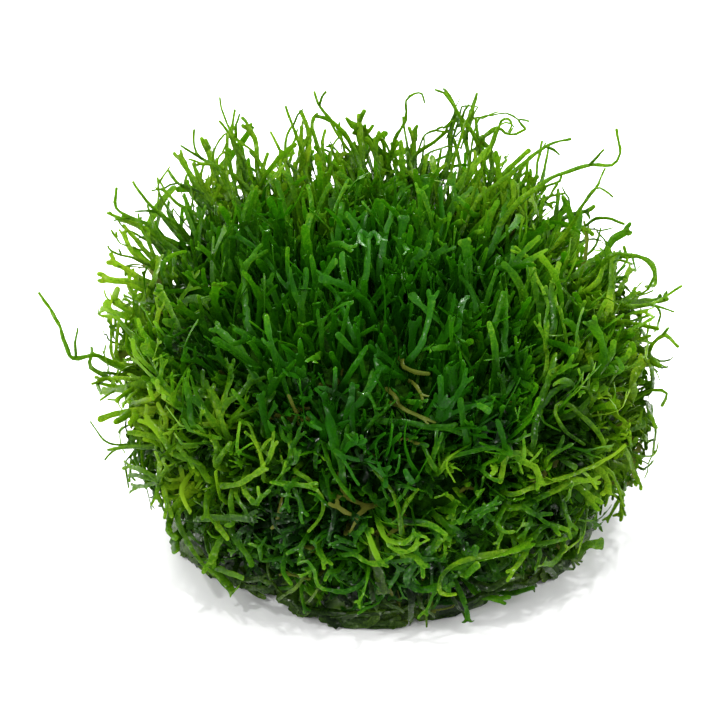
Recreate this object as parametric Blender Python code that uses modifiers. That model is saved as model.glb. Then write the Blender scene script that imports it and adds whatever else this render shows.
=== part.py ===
# A clump of crystalwort: a squat cushion of tangled, forked green ribbons.
# The cushion is one mass, because its ribbons have grown through each other, and
# its tufts are fused to it. The single ribbons that stand clear of it, or lie
# across it where they can be told apart, are pieces of their own.
# Sizes are in millimetres and turned to metres as each mesh is made. +Z is up,
# the origin is the middle of the small flat spot that the clump rests on, and
# the front faces -Y.

import math
import random

import bmesh
import bpy
from mathutils import Matrix, Vector, noise

mm = 0.001
weldDistance = 0.000002

# Driving dimensions of the cushion
flatSpotRadius = 27.5
waistRadius = 39.5
waistHeight = 21.0
crownHeight = 42.5
crownSquareness = 2.7
lumpHeight = 1.8
lumpSize = 15.0
lumpOffset = Vector((3.1, 7.7, 1.3))
lumpFadeHeight = 5.0
profileSteps = 5
turnSteps = 28

# Driving dimensions of the tufts
tuftTipHeight = 53.0
crownTufts = 36
crownSpread = 36.0
goldenAngle = math.radians(137.508)
crownTuftLength = 12.5
prongCount = 3
prongRoot = 2.4
prongMiddle = 1.35
prongTip = 0.62
prongSides = 0
squareCorner = math.sqrt(2)
crownForkSpread = 19.0
sideForkSpread = 38.0
tuftSink = 5.0
tuftClearance = 0.4
tuftAttempts = 8
tuftDraws = 12
clearSteps = 4
floorClearance = 1.0

# How much one tuft differs from the next: shares, and angles in degrees
prongTurn = 25.0
prongLean = (0.6, 1.3)
prongFoot = 0.6
prongReach = (0.75, 1.0)
elbowShare = 0.6
uprightShare = 0.7
crownPlace = (0.2, 0.8)
crownTurn = 0.1
crownLeanMiddle = 3.0
crownLeanRim = 34.0
crownLeanSpread = 6.0
crownTips = (-3.0, 0.5)
ringTurn = 0.3
ringHeight = 2.5
ringLean = 10.0
ringReach = (0.85, 1.15)

# Rings of tufts down the side: how many, height, lean from upright, length
sideRings = (
    (14, 34.5, 56.0, 9.0),
    (14, 26.5, 78.0, 6.8),
    (14, 17.5, 98.0, 6.4),
    (13, 9.0, 114.0, 5.8),
)

# Driving dimensions of one ribbon
ribbonWidth = 1.15
ribbonThickness = 0.6
ribbonTaper = 0.72
forkRadius = 0.8
lowestShare = 0.75
sharpAngle = 50.0
rootLength = 14.0
forkSink = 0.45
forkOffset = 0.13
forkSpread = 0.5
pieceGap = 0.32

# Ribbons are drawn as they are seen from the front, from a little above.
# Each point is so far across and so far up the picture from its middle.
viewTilt = math.radians(32.0)
viewDistance = 550.0
pictureMiddle = Vector((-3.4, 0.0, 26.6))
nearestDepth = 55.0
depthStep = 0.25

matteRoughness = 0.45
ribbonRoughness = 0.4
wetRoughness = 0.3
green = (0.05, 0.16, 0.012, 1.0)
brightGreen = (0.13, 0.33, 0.02, 1.0)
oliveTan = (0.17, 0.17, 0.035, 1.0)
wetBrown = (0.05, 0.045, 0.02, 1.0)

# Each stray ribbon: its name, how far behind the middle its root and its tip
# stand, the points of its run, and its forks as (point it leaves from, tip)
crownStrays = (
    ("stray_shoulder_left_low", 14, 16,
     ((-30, 18), (-33, 21), (-35.5, 22), (-37.5, 23.5), (-37.5, 26.5)), ((2, (-37.8, 21.4)),)),
    ("stray_shoulder_left", 18, 20,
     ((-26, 18.5), (-28.5, 21), (-31.5, 23), (-34, 26), (-35, 27.5)), ((2, (-34.6, 22.8)),)),
    ("stray_shoulder_left_high", 27, 31,
     ((-20, 26), (-22, 29.5), (-24.5, 31), (-25.5, 33), (-25.5, 35.5)), ((2, (-27.6, 33)),)),
    ("stray_crown_left", 31, 35,
     ((-14.5, 29), (-16.5, 32), (-19.5, 34.5), (-21, 38), (-21.5, 40.5)), ((2, (-18.6, 38)),)),
    ("stray_crown_mid_left", 33, 36,
     ((-8.5, 29), (-9, 32.5), (-10.5, 36.5), (-11.5, 39)), ((2, (-8.8, 38.6)),)),
    ("stray_crown_fork", 34, 37,
     ((-0.5, 31), (-2.5, 35), (-5, 37.5), (-6.5, 39.5), (-7.2, 41.2)), ((3, (-5.2, 41.4)),)),
    ("stray_crown_hook", 33, 35,
     ((4.3, 28), (5, 33), (7, 37), (7.2, 39.8), (8.5, 41.1), (9.6, 40.9), (10, 39.5)), ()),
    ("stray_crown_cross_left", 34, 36,
     ((19, 30), (17, 35.5), (15.5, 37.5), (14.5, 39), (13, 41)), ((2, (16.8, 39.4)),)),
    ("stray_crown_cross_right", 30, 32,
     ((14, 29), (15.5, 34), (16.5, 37), (17.5, 39), (18, 41)), ()),
    ("stray_crown_wavy", 26.5, 28,
     ((16.6, 29), (17.5, 35), (18.5, 37.3), (20.2, 37.6), (22.5, 38), (24.5, 37)), ()),
    ("stray_crown_curl", 23, 25,
     ((18, 27), (20, 33), (21, 35.5), (22.3, 36.6), (23.6, 36), (23, 34.8)), ()),
    ("stray_shoulder_right", 20, 24,
     ((18, 24.5), (21, 27), (25.5, 30.5), (29, 33), (32.5, 34)), ((3, (30.8, 31.6)),)),
    ("stray_right_elbow", 15, 18,
     ((24, 24), (28.5, 27.5), (32, 29), (35.5, 30), (38.7, 30.1), (40, 31.8), (39.5, 35.5)),
     ((3, (37.4, 32.4)),)),
    ("stray_right_hook", 11.5, 13,
     ((31, 18.5), (34.5, 24), (36.3, 26.3), (37.6, 26), (39, 25)), ()),
)

sideStrays = (
    ("stray_left_wisp", -3, -8,
     ((-34, -2), (-38, -0.5), (-41, 0.8), (-44.2, 0.3), (-45.4, 2.5), (-46.8, 6.5), (-49.5, 10.5)),
     ((4, (-43.4, 5)),)),
    ("stray_left_low_hook", -12, -14,
     ((-33, -12.5), (-37, -13), (-39.4, -12.3), (-41.5, -9.5)), ((1, (-39.4, -15.4)),)),
    ("stray_left_fork", -7, -9,
     ((-33.5, -5), (-37, -4.2), (-40.5, -3.5)), ((1, (-40, -6.2)),)),
    ("stray_right_arch", 5, 4,
     ((35.5, 13), (38.5, 16), (41.5, 16.2), (44.3, 15.2), (45.2, 12.8), (44.2, 10.8)), ()),
    ("stray_right_reach", 1, 5,
     ((37, 7.4), (41.5, 8.4), (45, 8.6), (49.5, 11.5)), ((2, (48.4, 7.4)),)),
    ("stray_right_knee", -4, -6,
     ((39.5, -4.6), (43, -2), (44.6, 1.6), (46.8, 4), (49, 2)), ((3, (48.2, 5.6)),)),
    ("stray_right_low_hook", -9, -10,
     ((39, -9), (42, -6.2), (45, -4.6), (47.3, -5.2), (46.4, -7.2)), ()),
    ("stray_right_tail", -15, -14,
     ((37.5, -15.5), (38.6, -19.8), (40.2, -21.8), (40.5, -24)), ((1, (37.6, -22.6)),)),
)

# Ribbons that lie on the cushion: name, how far they stand off it at the root
# and at the tip, then their runs and forks as above
frontRibbons = (
    ("ribbon_right_loop", 2.0, 4.0,
     ((37.4, -13.6), (36.5, -11), (33.5, -8), (31, -6.6), (30, -8.2), (31.6, -11), (34.5, -13)), ()),
    ("ribbon_right_long", 1.5, 4.5,
     ((23, -20.7), (28, -19), (34.5, -17), (38.5, -15), (41, -13)), ((2, (36.6, -19.8)),)),
    ("ribbon_front_curl", 1.5, 4.0,
     ((25, -28.6), (19.5, -30), (15, -31.2), (12.6, -33.4), (12.4, -35.8), (14.8, -36)), ()),
    ("ribbon_front_elbow", 1.5, 4.0,
     ((6.6, -27), (6, -23.5), (5, -20.5), (2, -16.8)), ((1, (9, -19.8)),)),
    ("ribbon_front_fork", 1.5, 3.5,
     ((-14.6, -18.6), (-15, -16), (-15.6, -13.6), (-16.6, -11.6)), ((2, (-13.6, -12)),)),
    ("ribbon_left_strap", 1.5, 2.5,
     ((-28, -23.5), (-26.8, -27.5), (-24.5, -31), (-20.6, -34.6)), ((2, (-21.8, -30.4)),)),
)

oldRibbons = (
    ("old_ribbon_bend", 2.0, 3.0,
     ((-10, -17), (-8, -18.2), (-6, -21), (-5.8, -23.6), (-8, -26.5)), ()),
)

pressedRibbons = (
    ("pressed_ribbon_upper", 0.9, 0.9, ((-10, -37.4), (-4, -38.8), (2, -38.9), (7.5, -38)), ()),
    ("pressed_ribbon_lower", 1.4, 1.4, ((-9, -39.2), (-5.6, -40.3), (-1, -40.8), (5, -40.1)), ()),
)


def clearScene():
    for obj in list(bpy.data.objects):
        bpy.data.objects.remove(obj, do_unlink=True)


def makeCollection(name):
    collection = bpy.data.collections.new(name)
    bpy.context.scene.collection.children.link(collection)
    return collection


def makeMaterial(name, colour, roughness):
    material = bpy.data.materials.new(name)
    material.use_nodes = True
    shader = material.node_tree.nodes["Principled BSDF"]
    shader.inputs["Base Color"].default_value = colour
    shader.inputs["Roughness"].default_value = roughness
    shader.inputs["Metallic"].default_value = 0.0
    return material


# Meshes

def meshObject(name, mesh, collection):
    obj = bpy.data.objects.new(name, mesh)
    collection.objects.link(obj)
    return obj


def cleanMesh(mesh):
    # Caps and seams are welded, and every face turned to point out
    work = bmesh.new()
    work.from_mesh(mesh)
    bmesh.ops.remove_doubles(work, verts=work.verts, dist=weldDistance)
    bmesh.ops.dissolve_degenerate(work, edges=work.edges, dist=weldDistance)
    bmesh.ops.recalc_face_normals(work, faces=work.faces)
    work.to_mesh(mesh)
    work.free()
    return mesh


def bakeMesh(obj, name, collection):
    # The evaluated shape becomes a plain mesh object, and the old object goes
    bpy.context.view_layer.update()
    evaluated = obj.evaluated_get(bpy.context.evaluated_depsgraph_get())
    mesh = cleanMesh(bpy.data.meshes.new_from_object(evaluated))
    mesh.transform(obj.matrix_world)
    bpy.data.objects.remove(obj, do_unlink=True)
    mesh.name = name
    return meshObject(name, mesh, collection)


def asCutter(obj):
    obj.hide_render = True
    obj.display_type = "WIRE"


# Curves

def drawCurve(name, points, radii, collection):
    curve = bpy.data.curves.new(name, "CURVE")
    curve.dimensions = "3D"
    curve.twist_mode = "MINIMUM"
    curve.use_fill_caps = True
    spline = curve.splines.new("POLY")
    spline.points.add(len(points) - 1)
    for slot, point, radius in zip(spline.points, points, radii):
        slot.co = (point.x * mm, point.y * mm, point.z * mm, 1.0)
        slot.radius = radius
    obj = bpy.data.objects.new(name, curve)
    collection.objects.link(obj)
    return obj


def taperedTube(name, points, radii, collection):
    obj = drawCurve(name, points, radii, collection)
    obj.data.bevel_depth = mm
    obj.data.bevel_resolution = prongSides
    return bakeMesh(obj, name, collection)


def ribbonProfile(collection):
    # The flat section of one ribbon
    curve = bpy.data.curves.new("ribbon_section", "CURVE")
    curve.dimensions = "2D"
    half = ribbonWidth / 2 * mm
    rise = ribbonThickness / 2 * mm
    corners = ((half, -rise), (half, rise), (-half, rise), (-half, -rise))
    spline = curve.splines.new("POLY")
    spline.points.add(len(corners) - 1)
    for slot, corner in zip(spline.points, corners):
        slot.co = (corner[0], corner[1], 0.0, 1.0)
    spline.use_cyclic_u = True
    obj = bpy.data.objects.new("ribbon_section", curve)
    collection.objects.link(obj)
    asCutter(obj)
    return obj


def flatRibbon(name, points, radii, section, collection):
    obj = drawCurve(name, points, radii, collection)
    obj.data.bevel_mode = "OBJECT"
    obj.data.bevel_object = section
    return bakeMesh(obj, name, collection)


# The cushion's body

def cushionOutline():
    # From the middle of the flat spot, round the underside and over the crown
    outline = [(0.0, 0.0), (flatSpotRadius, 0.0)]
    for step in range(1, profileSteps + 1):
        angle = step / profileSteps * math.pi / 2
        radius = flatSpotRadius + (waistRadius - flatSpotRadius) * math.sin(angle)
        outline.append((radius, waistHeight * (1 - math.cos(angle))))
    power = 2 / crownSquareness
    for step in range(1, profileSteps):
        angle = step / profileSteps * math.pi / 2
        height = waistHeight + (crownHeight - waistHeight) * math.sin(angle) ** power
        outline.append((waistRadius * math.cos(angle) ** power, height))
    outline.append((0.0, crownHeight))
    return outline


def grownOutline(grow):
    # The same outline pushed out square to itself
    outline = cushionOutline()
    last = len(outline) - 1
    grown = []
    for index, (radius, height) in enumerate(outline):
        before = outline[max(index - 1, 0)]
        after = outline[min(index + 1, last)]
        run = after[0] - before[0]
        climb = after[1] - before[1]
        length = math.hypot(run, climb)
        reach = radius + climb / length * grow if 0 < index < last else 0.0
        grown.append((reach, height - run / length * grow))
    return grown


def surfaceRadius(height):
    # How far the cushion reaches from its axis at a height
    if height < waistHeight:
        cosine = 1 - height / waistHeight
        return flatSpotRadius + (waistRadius - flatSpotRadius) * math.sqrt(1 - cosine ** 2)
    rise = (height - waistHeight) / (crownHeight - waistHeight)
    return waistRadius * max(1 - rise ** crownSquareness, 0.0) ** (1 / crownSquareness)


def surfaceHeight(radius):
    # How high the crown is at a distance from the axis
    share = 1 - (radius / waistRadius) ** crownSquareness
    return waistHeight + (crownHeight - waistHeight) * share ** (1 / crownSquareness)


def turnedBody(name, grow, collection):
    mesh = bpy.data.meshes.new(name)
    outline = [(radius * mm, 0.0, height * mm) for radius, height in reversed(grownOutline(grow))]
    edges = [(index, index + 1) for index in range(len(outline) - 1)]
    mesh.from_pydata(outline, edges, [])
    obj = meshObject(name, mesh, collection)
    screw = obj.modifiers.new("turn", "SCREW")
    screw.steps = turnSteps
    screw.render_steps = turnSteps
    screw.use_merge_vertices = True
    screw.merge_threshold = weldDistance
    body = bakeMesh(obj, name, collection)
    addLumps(body.data)
    return body


def addLumps(mesh):
    # Slow swells push the side and crown in and out, and leave the flat spot flat
    for vertex in mesh.vertices:
        point = vertex.co / mm
        outward = Vector((point.x, point.y, point.z - waistHeight)).normalized()
        swell = noise.noise(point / lumpSize + lumpOffset) * lumpHeight * 2
        fade = min(max(point.z / lumpFadeHeight, 0.0), 1.0)
        vertex.co += outward * swell * fade * mm


# Tufts

def turned(vector, axis, degrees):
    return Matrix.Rotation(math.radians(degrees), 3, axis) @ vector


def tuftRuns(root, normal, direction, length, spread, bent, dice):
    # Prongs that leave one root inside the cushion, spread apart and bend upright again
    side = direction.cross(Vector((0, 0, 1)) if abs(direction.z) < 0.9 else Vector((1, 0, 0)))
    side.normalize()
    runs = []
    turn = dice.uniform(0, 360)
    for prong in range(prongCount):
        around = turn + 360 * prong / prongCount + dice.uniform(-prongTurn, prongTurn)
        away = turned(turned(direction, side, spread * dice.uniform(*prongLean)), direction, around)
        foot = root - normal * tuftSink + away * dice.uniform(0, prongFoot)
        reach = tuftSink + length * dice.uniform(*prongReach)
        elbow = foot + away * reach * elbowShare
        tip = elbow + away.lerp(direction, uprightShare).normalized() * reach * (1 - elbowShare)
        if bent:
            runs.append(([foot, elbow, tip], [prongRoot, prongMiddle, prongTip]))
        else:
            runs.append(([foot, tip], [prongRoot, prongTip]))
    return runs


def crownTuft(index, dice):
    # Spread evenly over the crown, leaning out more towards its rim
    radius = crownSpread * math.sqrt((index + dice.uniform(*crownPlace)) / crownTufts)
    angle = index * goldenAngle + dice.uniform(-crownTurn, crownTurn)
    outward = Vector((math.cos(angle), math.sin(angle), 0))
    root = outward * radius + Vector((0, 0, surfaceHeight(radius)))
    loose = dice.uniform(-crownLeanSpread, crownLeanSpread)
    lean = math.radians(crownLeanMiddle + crownLeanRim * (radius / crownSpread) ** 2 + loose)
    direction = outward * math.sin(lean) + Vector((0, 0, math.cos(lean)))
    reach = tuftTipHeight + dice.uniform(*crownTips) - root.z
    length = min(reach / math.cos(lean), crownTuftLength)
    return tuftRuns(root, direction, direction, length, crownForkSpread, True, dice)


def sideTuft(index, count, height, leanFromUp, length, dice):
    # Spread evenly round one ring
    offset = 0.5 if height > waistHeight else 0.0
    angle = (index + offset + dice.uniform(-ringTurn, ringTurn)) / count * math.tau
    level = height + dice.uniform(-ringHeight, ringHeight)
    outward = Vector((math.cos(angle), math.sin(angle), 0))
    root = outward * surfaceRadius(level) + Vector((0, 0, level))
    lean = math.radians(leanFromUp + dice.uniform(-ringLean, ringLean))
    direction = outward * math.sin(lean) + Vector((0, 0, math.cos(lean)))
    reach = length * dice.uniform(*ringReach)
    return tuftRuns(root, outward, direction, reach, sideForkSpread, False, dice)


def clearTuft(makeTuft, strayRuns):
    # Moves a tuft until all its prongs clear the strays, or keeps the best try's clear prongs
    best = []
    for attempt in range(tuftAttempts):
        prongs = [prong for prong in makeTuft() if standsClear(prong, strayRuns)]
        if len(prongs) > len(best):
            best = prongs
        if len(best) == prongCount:
            break
    return best


def planTufts(strayRuns):
    dice = random.Random(tuftDraws)
    runs = []
    for index in range(crownTufts):
        runs.extend(clearTuft(lambda: crownTuft(index, dice), strayRuns))
    for count, height, lean, length in sideRings:
        for index in range(count):
            runs.extend(clearTuft(lambda: sideTuft(index, count, height, lean, length, dice), strayRuns))
    return runs


def nearest(point, start, end):
    along = end - start
    share = (point - start).dot(along) / max(along.length_squared, 1e-9)
    return start + along * min(max(share, 0.0), 1.0)


def standsClear(run, strayRuns):
    # Whether a prong keeps off the floor and off the stray ribbons
    points, radii = run
    for spot in range(len(points) - 1):
        for step in range(clearSteps + 1):
            share = step / clearSteps
            here = points[spot].lerp(points[spot + 1], share)
            thick = radii[spot] * (1 - share) + radii[spot + 1] * share
            for stray in strayRuns:
                for index in range(1, len(stray) - 1):
                    away = (nearest(here, stray[index], stray[index + 1]) - here).length
                    if away < thick + ribbonWidth / 2 + tuftClearance:
                        return False
        if points[spot + 1].z < floorClearance:
            return False
    return True


def grownRuns(runs, grow):
    # The same tufts, thicker and a little longer, for cutting a clear space round them
    grown = []
    for points, radii in runs:
        last = points[-1] + (points[-1] - points[-2]).normalized() * grow
        thicker = [radius + grow * squareCorner for radius in radii]
        grown.append((points[:-1] + [last], thicker))
    return grown


def joinShapes(name, body, pieces, collection):
    union = body.modifiers.new("join tufts", "BOOLEAN")
    union.operation = "UNION"
    union.solver = "EXACT"
    union.operand_type = "COLLECTION"
    union.collection = pieces
    union.use_self = True
    joined = bakeMesh(body, name, collection)
    for obj in list(pieces.objects):
        bpy.data.objects.remove(obj, do_unlink=True)
    return joined


def makeCushion(name, runs, grow, shapes, collection):
    body = turnedBody(name + "_body", grow, collection)
    for index, (points, radii) in enumerate(grownRuns(runs, grow)):
        tuft = taperedTube("tuft_%03d" % index, points, radii, shapes)
        asCutter(tuft)
    return joinShapes(name, body, shapes, collection)


# Stray ribbons

def seenPoint(across, rise, depth):
    # The point at this depth that is seen at this place in the picture
    behind = depth - pictureMiddle.y
    sine = math.sin(viewTilt)
    cosine = math.cos(viewTilt)
    top = rise * (viewDistance + behind * cosine) - viewDistance * behind * sine
    height = top / (viewDistance * cosine + rise * sine)
    away = viewDistance + behind * cosine - height * sine
    height = max(height + pictureMiddle.z, ribbonThickness * lowestShare)
    return Vector((pictureMiddle.x + across * away / viewDistance, depth, height))


def lyingPoint(across, rise, lift):
    # The point seen at this place that stands this far off the cushion's side,
    # or comes nearest to it
    best = None
    bestClear = math.inf
    depth = -nearestDepth
    while depth < 0:
        point = seenPoint(across, rise, depth)
        clear = math.hypot(point.x, point.y) - surfaceRadius(min(point.z, crownHeight))
        if clear < bestClear:
            best = point
            bestClear = clear
        if clear <= lift:
            break
        depth += depthStep
    return best


def strayPoints(route, rootPlace, tipPlace, findPoint):
    last = len(route) - 1
    return [findPoint(across, rise, rootPlace + (tipPlace - rootPlace) * index / last)
            for index, (across, rise) in enumerate(route)]


def rooted(points):
    # A stray grows out of the cushion, so it starts from a point inside it
    inward = Vector((0, 0, waistHeight)) - points[0]
    return [points[0] + inward.normalized() * rootLength] + points


def strayForks(points, forks):
    # Each fork starts inside the run, just short of one of its points, a little to the
    # front so that no faces lie in one plane, and ends at its own tip
    runs = []
    for index, (across, rise) in forks:
        onward = (points[index] - points[index - 1]).normalized()
        start = points[index] - onward * forkSink + Vector((0.0, -forkOffset, 0.0))
        tip = seenPoint(across, rise, start.y - forkSpread)
        middle = start.lerp(tip, 0.5) + onward * forkOffset
        runs.append([start, middle, tip])
    return runs


def keepLargest(mesh):
    # Only the stretch that stands clear of the cushion is kept
    work = bmesh.new()
    work.from_mesh(mesh)
    work.verts.ensure_lookup_table()
    groups = []
    seen = set()
    for vertex in work.verts:
        if vertex.index in seen:
            continue
        group = []
        queue = [vertex]
        seen.add(vertex.index)
        while queue:
            here = queue.pop()
            group.append(here)
            for edge in here.link_edges:
                other = edge.other_vert(here)
                if other.index not in seen:
                    seen.add(other.index)
                    queue.append(other)
        groups.append(group)
    groups.sort(key=len)
    for group in groups[:-1]:
        bmesh.ops.delete(work, geom=group, context="VERTS")
    work.to_mesh(mesh)
    work.free()


def makeStray(name, points, forkRuns, section, keepOut, shapes, collection):
    last = len(points) - 1
    radii = [1.0 - (1 - ribbonTaper) * (index / last) for index in range(last + 1)]
    ribbon = flatRibbon(name + "_run", points, radii, section, collection)
    for index, run in enumerate(forkRuns):
        forkRadii = [forkRadius, forkRadius, ribbonTaper]
        fork = flatRibbon("%s_fork_%d" % (name, index), run, forkRadii, section, shapes)
        asCutter(fork)
    if forkRuns:
        ribbon = joinShapes(name + "_run", ribbon, shapes, collection)
    cut = ribbon.modifiers.new("clear of the cushion", "BOOLEAN")
    cut.operation = "DIFFERENCE"
    cut.solver = "EXACT"
    cut.object = keepOut
    stray = bakeMesh(ribbon, name, collection)
    keepLargest(stray.data)
    return stray


def finish(obj, material):
    obj.data.materials.clear()
    obj.data.materials.append(material)
    obj.data.shade_smooth()
    obj.data.set_sharp_from_angle(angle=math.radians(sharpAngle))


def main():
    clearScene()
    parts = makeCollection("crystalwort")
    shapes = makeCollection("crystalwort_cutters")
    tools = makeCollection("crystalwort_guides")
    cushionGreen = makeMaterial("cushion_green", green, matteRoughness)
    ribbonGreen = makeMaterial("ribbon_green", brightGreen, ribbonRoughness)
    oldTan = makeMaterial("old_ribbon_tan", oliveTan, matteRoughness)
    pressedBrown = makeMaterial("pressed_ribbon_brown", wetBrown, wetRoughness)

    groups = ((crownStrays + sideStrays, seenPoint, ribbonGreen),
              (frontRibbons, lyingPoint, ribbonGreen),
              (oldRibbons, lyingPoint, oldTan),
              (pressedRibbons, lyingPoint, pressedBrown))
    plans = []
    strayRuns = []
    for strays, findPoint, material in groups:
        for name, rootPlace, tipPlace, route, forks in strays:
            points = strayPoints(route, rootPlace, tipPlace, findPoint)
            forkRuns = strayForks(points, forks)
            if strays is not pressedRibbons:
                points = rooted(points)
            plans.append((name, points, forkRuns, material))
            strayRuns.extend([points] + forkRuns)

    runs = planTufts(strayRuns)
    cushion = makeCushion("cushion", runs, 0.0, shapes, parts)
    finish(cushion, cushionGreen)
    keepOut = makeCushion("cushion_clearance", runs, pieceGap, shapes, tools)
    asCutter(keepOut)
    section = ribbonProfile(tools)
    for name, points, forkRuns, material in plans:
        finish(makeStray(name, points, forkRuns, section, keepOut, shapes, parts), material)


main()
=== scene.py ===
import math
import random

import bmesh
import bpy
from mathutils import Matrix, Vector, noise


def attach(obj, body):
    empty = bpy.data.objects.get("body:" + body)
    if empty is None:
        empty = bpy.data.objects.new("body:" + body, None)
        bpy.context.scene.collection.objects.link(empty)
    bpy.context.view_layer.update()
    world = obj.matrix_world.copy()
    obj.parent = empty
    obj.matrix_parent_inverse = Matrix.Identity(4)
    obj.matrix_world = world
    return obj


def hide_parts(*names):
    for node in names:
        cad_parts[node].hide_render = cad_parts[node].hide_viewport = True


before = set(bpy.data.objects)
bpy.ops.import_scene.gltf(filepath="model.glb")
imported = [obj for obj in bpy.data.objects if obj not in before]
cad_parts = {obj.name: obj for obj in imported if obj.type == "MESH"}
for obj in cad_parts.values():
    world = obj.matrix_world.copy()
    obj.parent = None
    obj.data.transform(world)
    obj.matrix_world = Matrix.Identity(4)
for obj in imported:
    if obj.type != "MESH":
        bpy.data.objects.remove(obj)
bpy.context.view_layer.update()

# Sizes are in millimetres and turned to metres when a mesh is made.
mm = 0.001
up = Vector((0, 0, 1))
leastLength = 1e-4

# The photo's view: the eye looks at this point from this far, tilted down by this much.
viewSettings = {
    "tilt": 32.0,
    "distance": 550.0,
    "middle": Vector((-3.4, 0.0, 26.6)),
    "frameWidth": 110.8,
    "sensor": 36.0,
    "clip": (0.05, 20.0),
}
tilt = math.radians(viewSettings["tilt"])
toEye = Vector((0, -math.cos(tilt), math.sin(tilt)))

# The cushion's form, as its solid has it.
cushionForm = {
    "flatRadius": 27.5,
    "waistRadius": 39.5,
    "waistHeight": 21.0,
    "crownHeight": 42.5,
    "squareness": 2.7,
    "tipHeight": 53.0,
    "floor": 0.35,
}


def surfaceRadius(height):
    waist = cushionForm["waistHeight"]
    if height < waist:
        cosine = 1 - max(height, 0.0) / waist
        bulge = cushionForm["waistRadius"] - cushionForm["flatRadius"]
        return cushionForm["flatRadius"] + bulge * math.sqrt(1 - cosine ** 2)
    rise = min((height - waist) / (cushionForm["crownHeight"] - waist), 1.0)
    power = cushionForm["squareness"]
    return cushionForm["waistRadius"] * (1 - rise ** power) ** (1 / power)


# One wire in a node tree. Sums on it add Math nodes, and node() adds any other node.
class Wire:
    def __init__(self, tree, socket=None):
        self.tree = tree
        self.socket = socket

    def node(self, kind, settings=None, values=None, output=0):
        made = self.tree.nodes.new(kind)
        for name, value in (settings or {}).items():
            if name == "stops":
                ramp = made.color_ramp
                while len(ramp.elements) < len(value):
                    ramp.elements.new(1.0)
                for element, (place, colour) in zip(ramp.elements, value):
                    element.position = place
                    element.color = (*colour, 1.0)
            else:
                setattr(made, name, value)
        for name, value in (values or {}).items():
            if isinstance(value, Wire):
                self.tree.links.new(value.socket, made.inputs[name])
            else:
                made.inputs[name].default_value = value
        return Wire(self.tree, made.outputs[output] if made.outputs else None)

    def maths(self, operation, first, second=0.0):
        return self.node("ShaderNodeMath", {"operation": operation}, {0: first, 1: second})

    def clamped(self):
        return self.node("ShaderNodeClamp", None, {"Value": self})

    def __add__(self, other):
        return self.maths("ADD", self, other)

    def __radd__(self, other):
        return self.maths("ADD", other, self)

    def __sub__(self, other):
        return self.maths("SUBTRACT", self, other)

    def __rsub__(self, other):
        return self.maths("SUBTRACT", other, self)

    def __mul__(self, other):
        return self.maths("MULTIPLY", self, other)

# Finishes

# Each ramp runs from shaded to lit: the fresh green of the crown, that of the sides, their
# yellower green, and the dull olive of ribbons pressed under the clump
ribbonFinish = {
    "fresh": ((0.0062, 0.0510, 0.0008), (0.0080, 0.0650, 0.0010), (0.0215, 0.1180, 0.0020),
              (0.1000, 0.2500, 0.0070)),
    "side": ((0.0012, 0.0110, 0.0002), (0.0065, 0.0500, 0.0006), (0.0250, 0.1200, 0.0018),
             (0.1300, 0.2900, 0.0090)),
    "warm": ((0.0030, 0.0110, 0.0002), (0.0260, 0.0740, 0.0008), (0.0950, 0.1950, 0.0030),
             (0.2500, 0.3800, 0.0120)),
    "pressed": ((0.0020, 0.0070, 0.0008), (0.0140, 0.0350, 0.0030), (0.0500, 0.1000, 0.0080),
                (0.1200, 0.2000, 0.0200)),
    "levels": (0.05, 0.38, 0.72, 1.0),
    "shadeColour": (0.0010, 0.0070, 0.0002),
    "shadeGain": 1.8,
    "shadeMost": 0.8,
    "ageGain": 2.0,
    "agePatch": 0.5,
    "old": (0.0750, 0.0850, 0.0110),
    "oldFrom": 0.5,
    "oldLeast": 0.7,
    "oldMottle": 0.6,
    "throughFresh": (0.1500, 0.4800, 0.0060),
    "throughWarm": (0.2600, 0.5200, 0.0080),
    "throughLow": 0.12,
    "throughHigh": 0.50,
    "roughness": 0.42,
    "roughPatch": 0.35,
    "roughMottle": 0.2,
    "specular": 0.06,
    "ior": 1.38,
    "wetFrom": 0.595,
    "wetGain": 14.0,
    "wetRoughness": 0.08,
    "wetSmooths": 0.15,
    "wetBlocks": 0.6,
    "filmFrom": 0.56,
    "filmGain": 8.0,
    "filmCoat": 0.13,
    "coatRoughness": 0.1,
    "bumpHeight": 0.0001,
    "bumpStrength": 0.6,
    "bumpGrain": 0.5,
}

# The noises of a ribbon, each with how many fit in a metre and its detail, and how much these
# and the values of the mesh change the level of the ramps
ribbonNoises = {"patch": (55.0, 2.0), "mottle": (1400.0, 2.0), "grain": (3600.0, 1.0), "film": (240.0, 1.0)}
# The margin share makes each ribbon darker towards its two edges, a painted shade
levelShares = {"tone": 0.8, "along": 0.34, "patch": 0.3, "mottle": 0.6, "grain": 0.75, "margin": 0.1}
levelLift = 0.005


def mixColour(wire, factor, first, second):
    return wire.node("ShaderNodeMix", {"data_type": "RGBA"}, {"Factor": factor, 6: first, 7: second}, 2)


def newMaterial(name):
    material = bpy.data.materials.new(name)
    material.use_nodes = True
    material.node_tree.nodes.clear()
    return material, Wire(material.node_tree)


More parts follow.
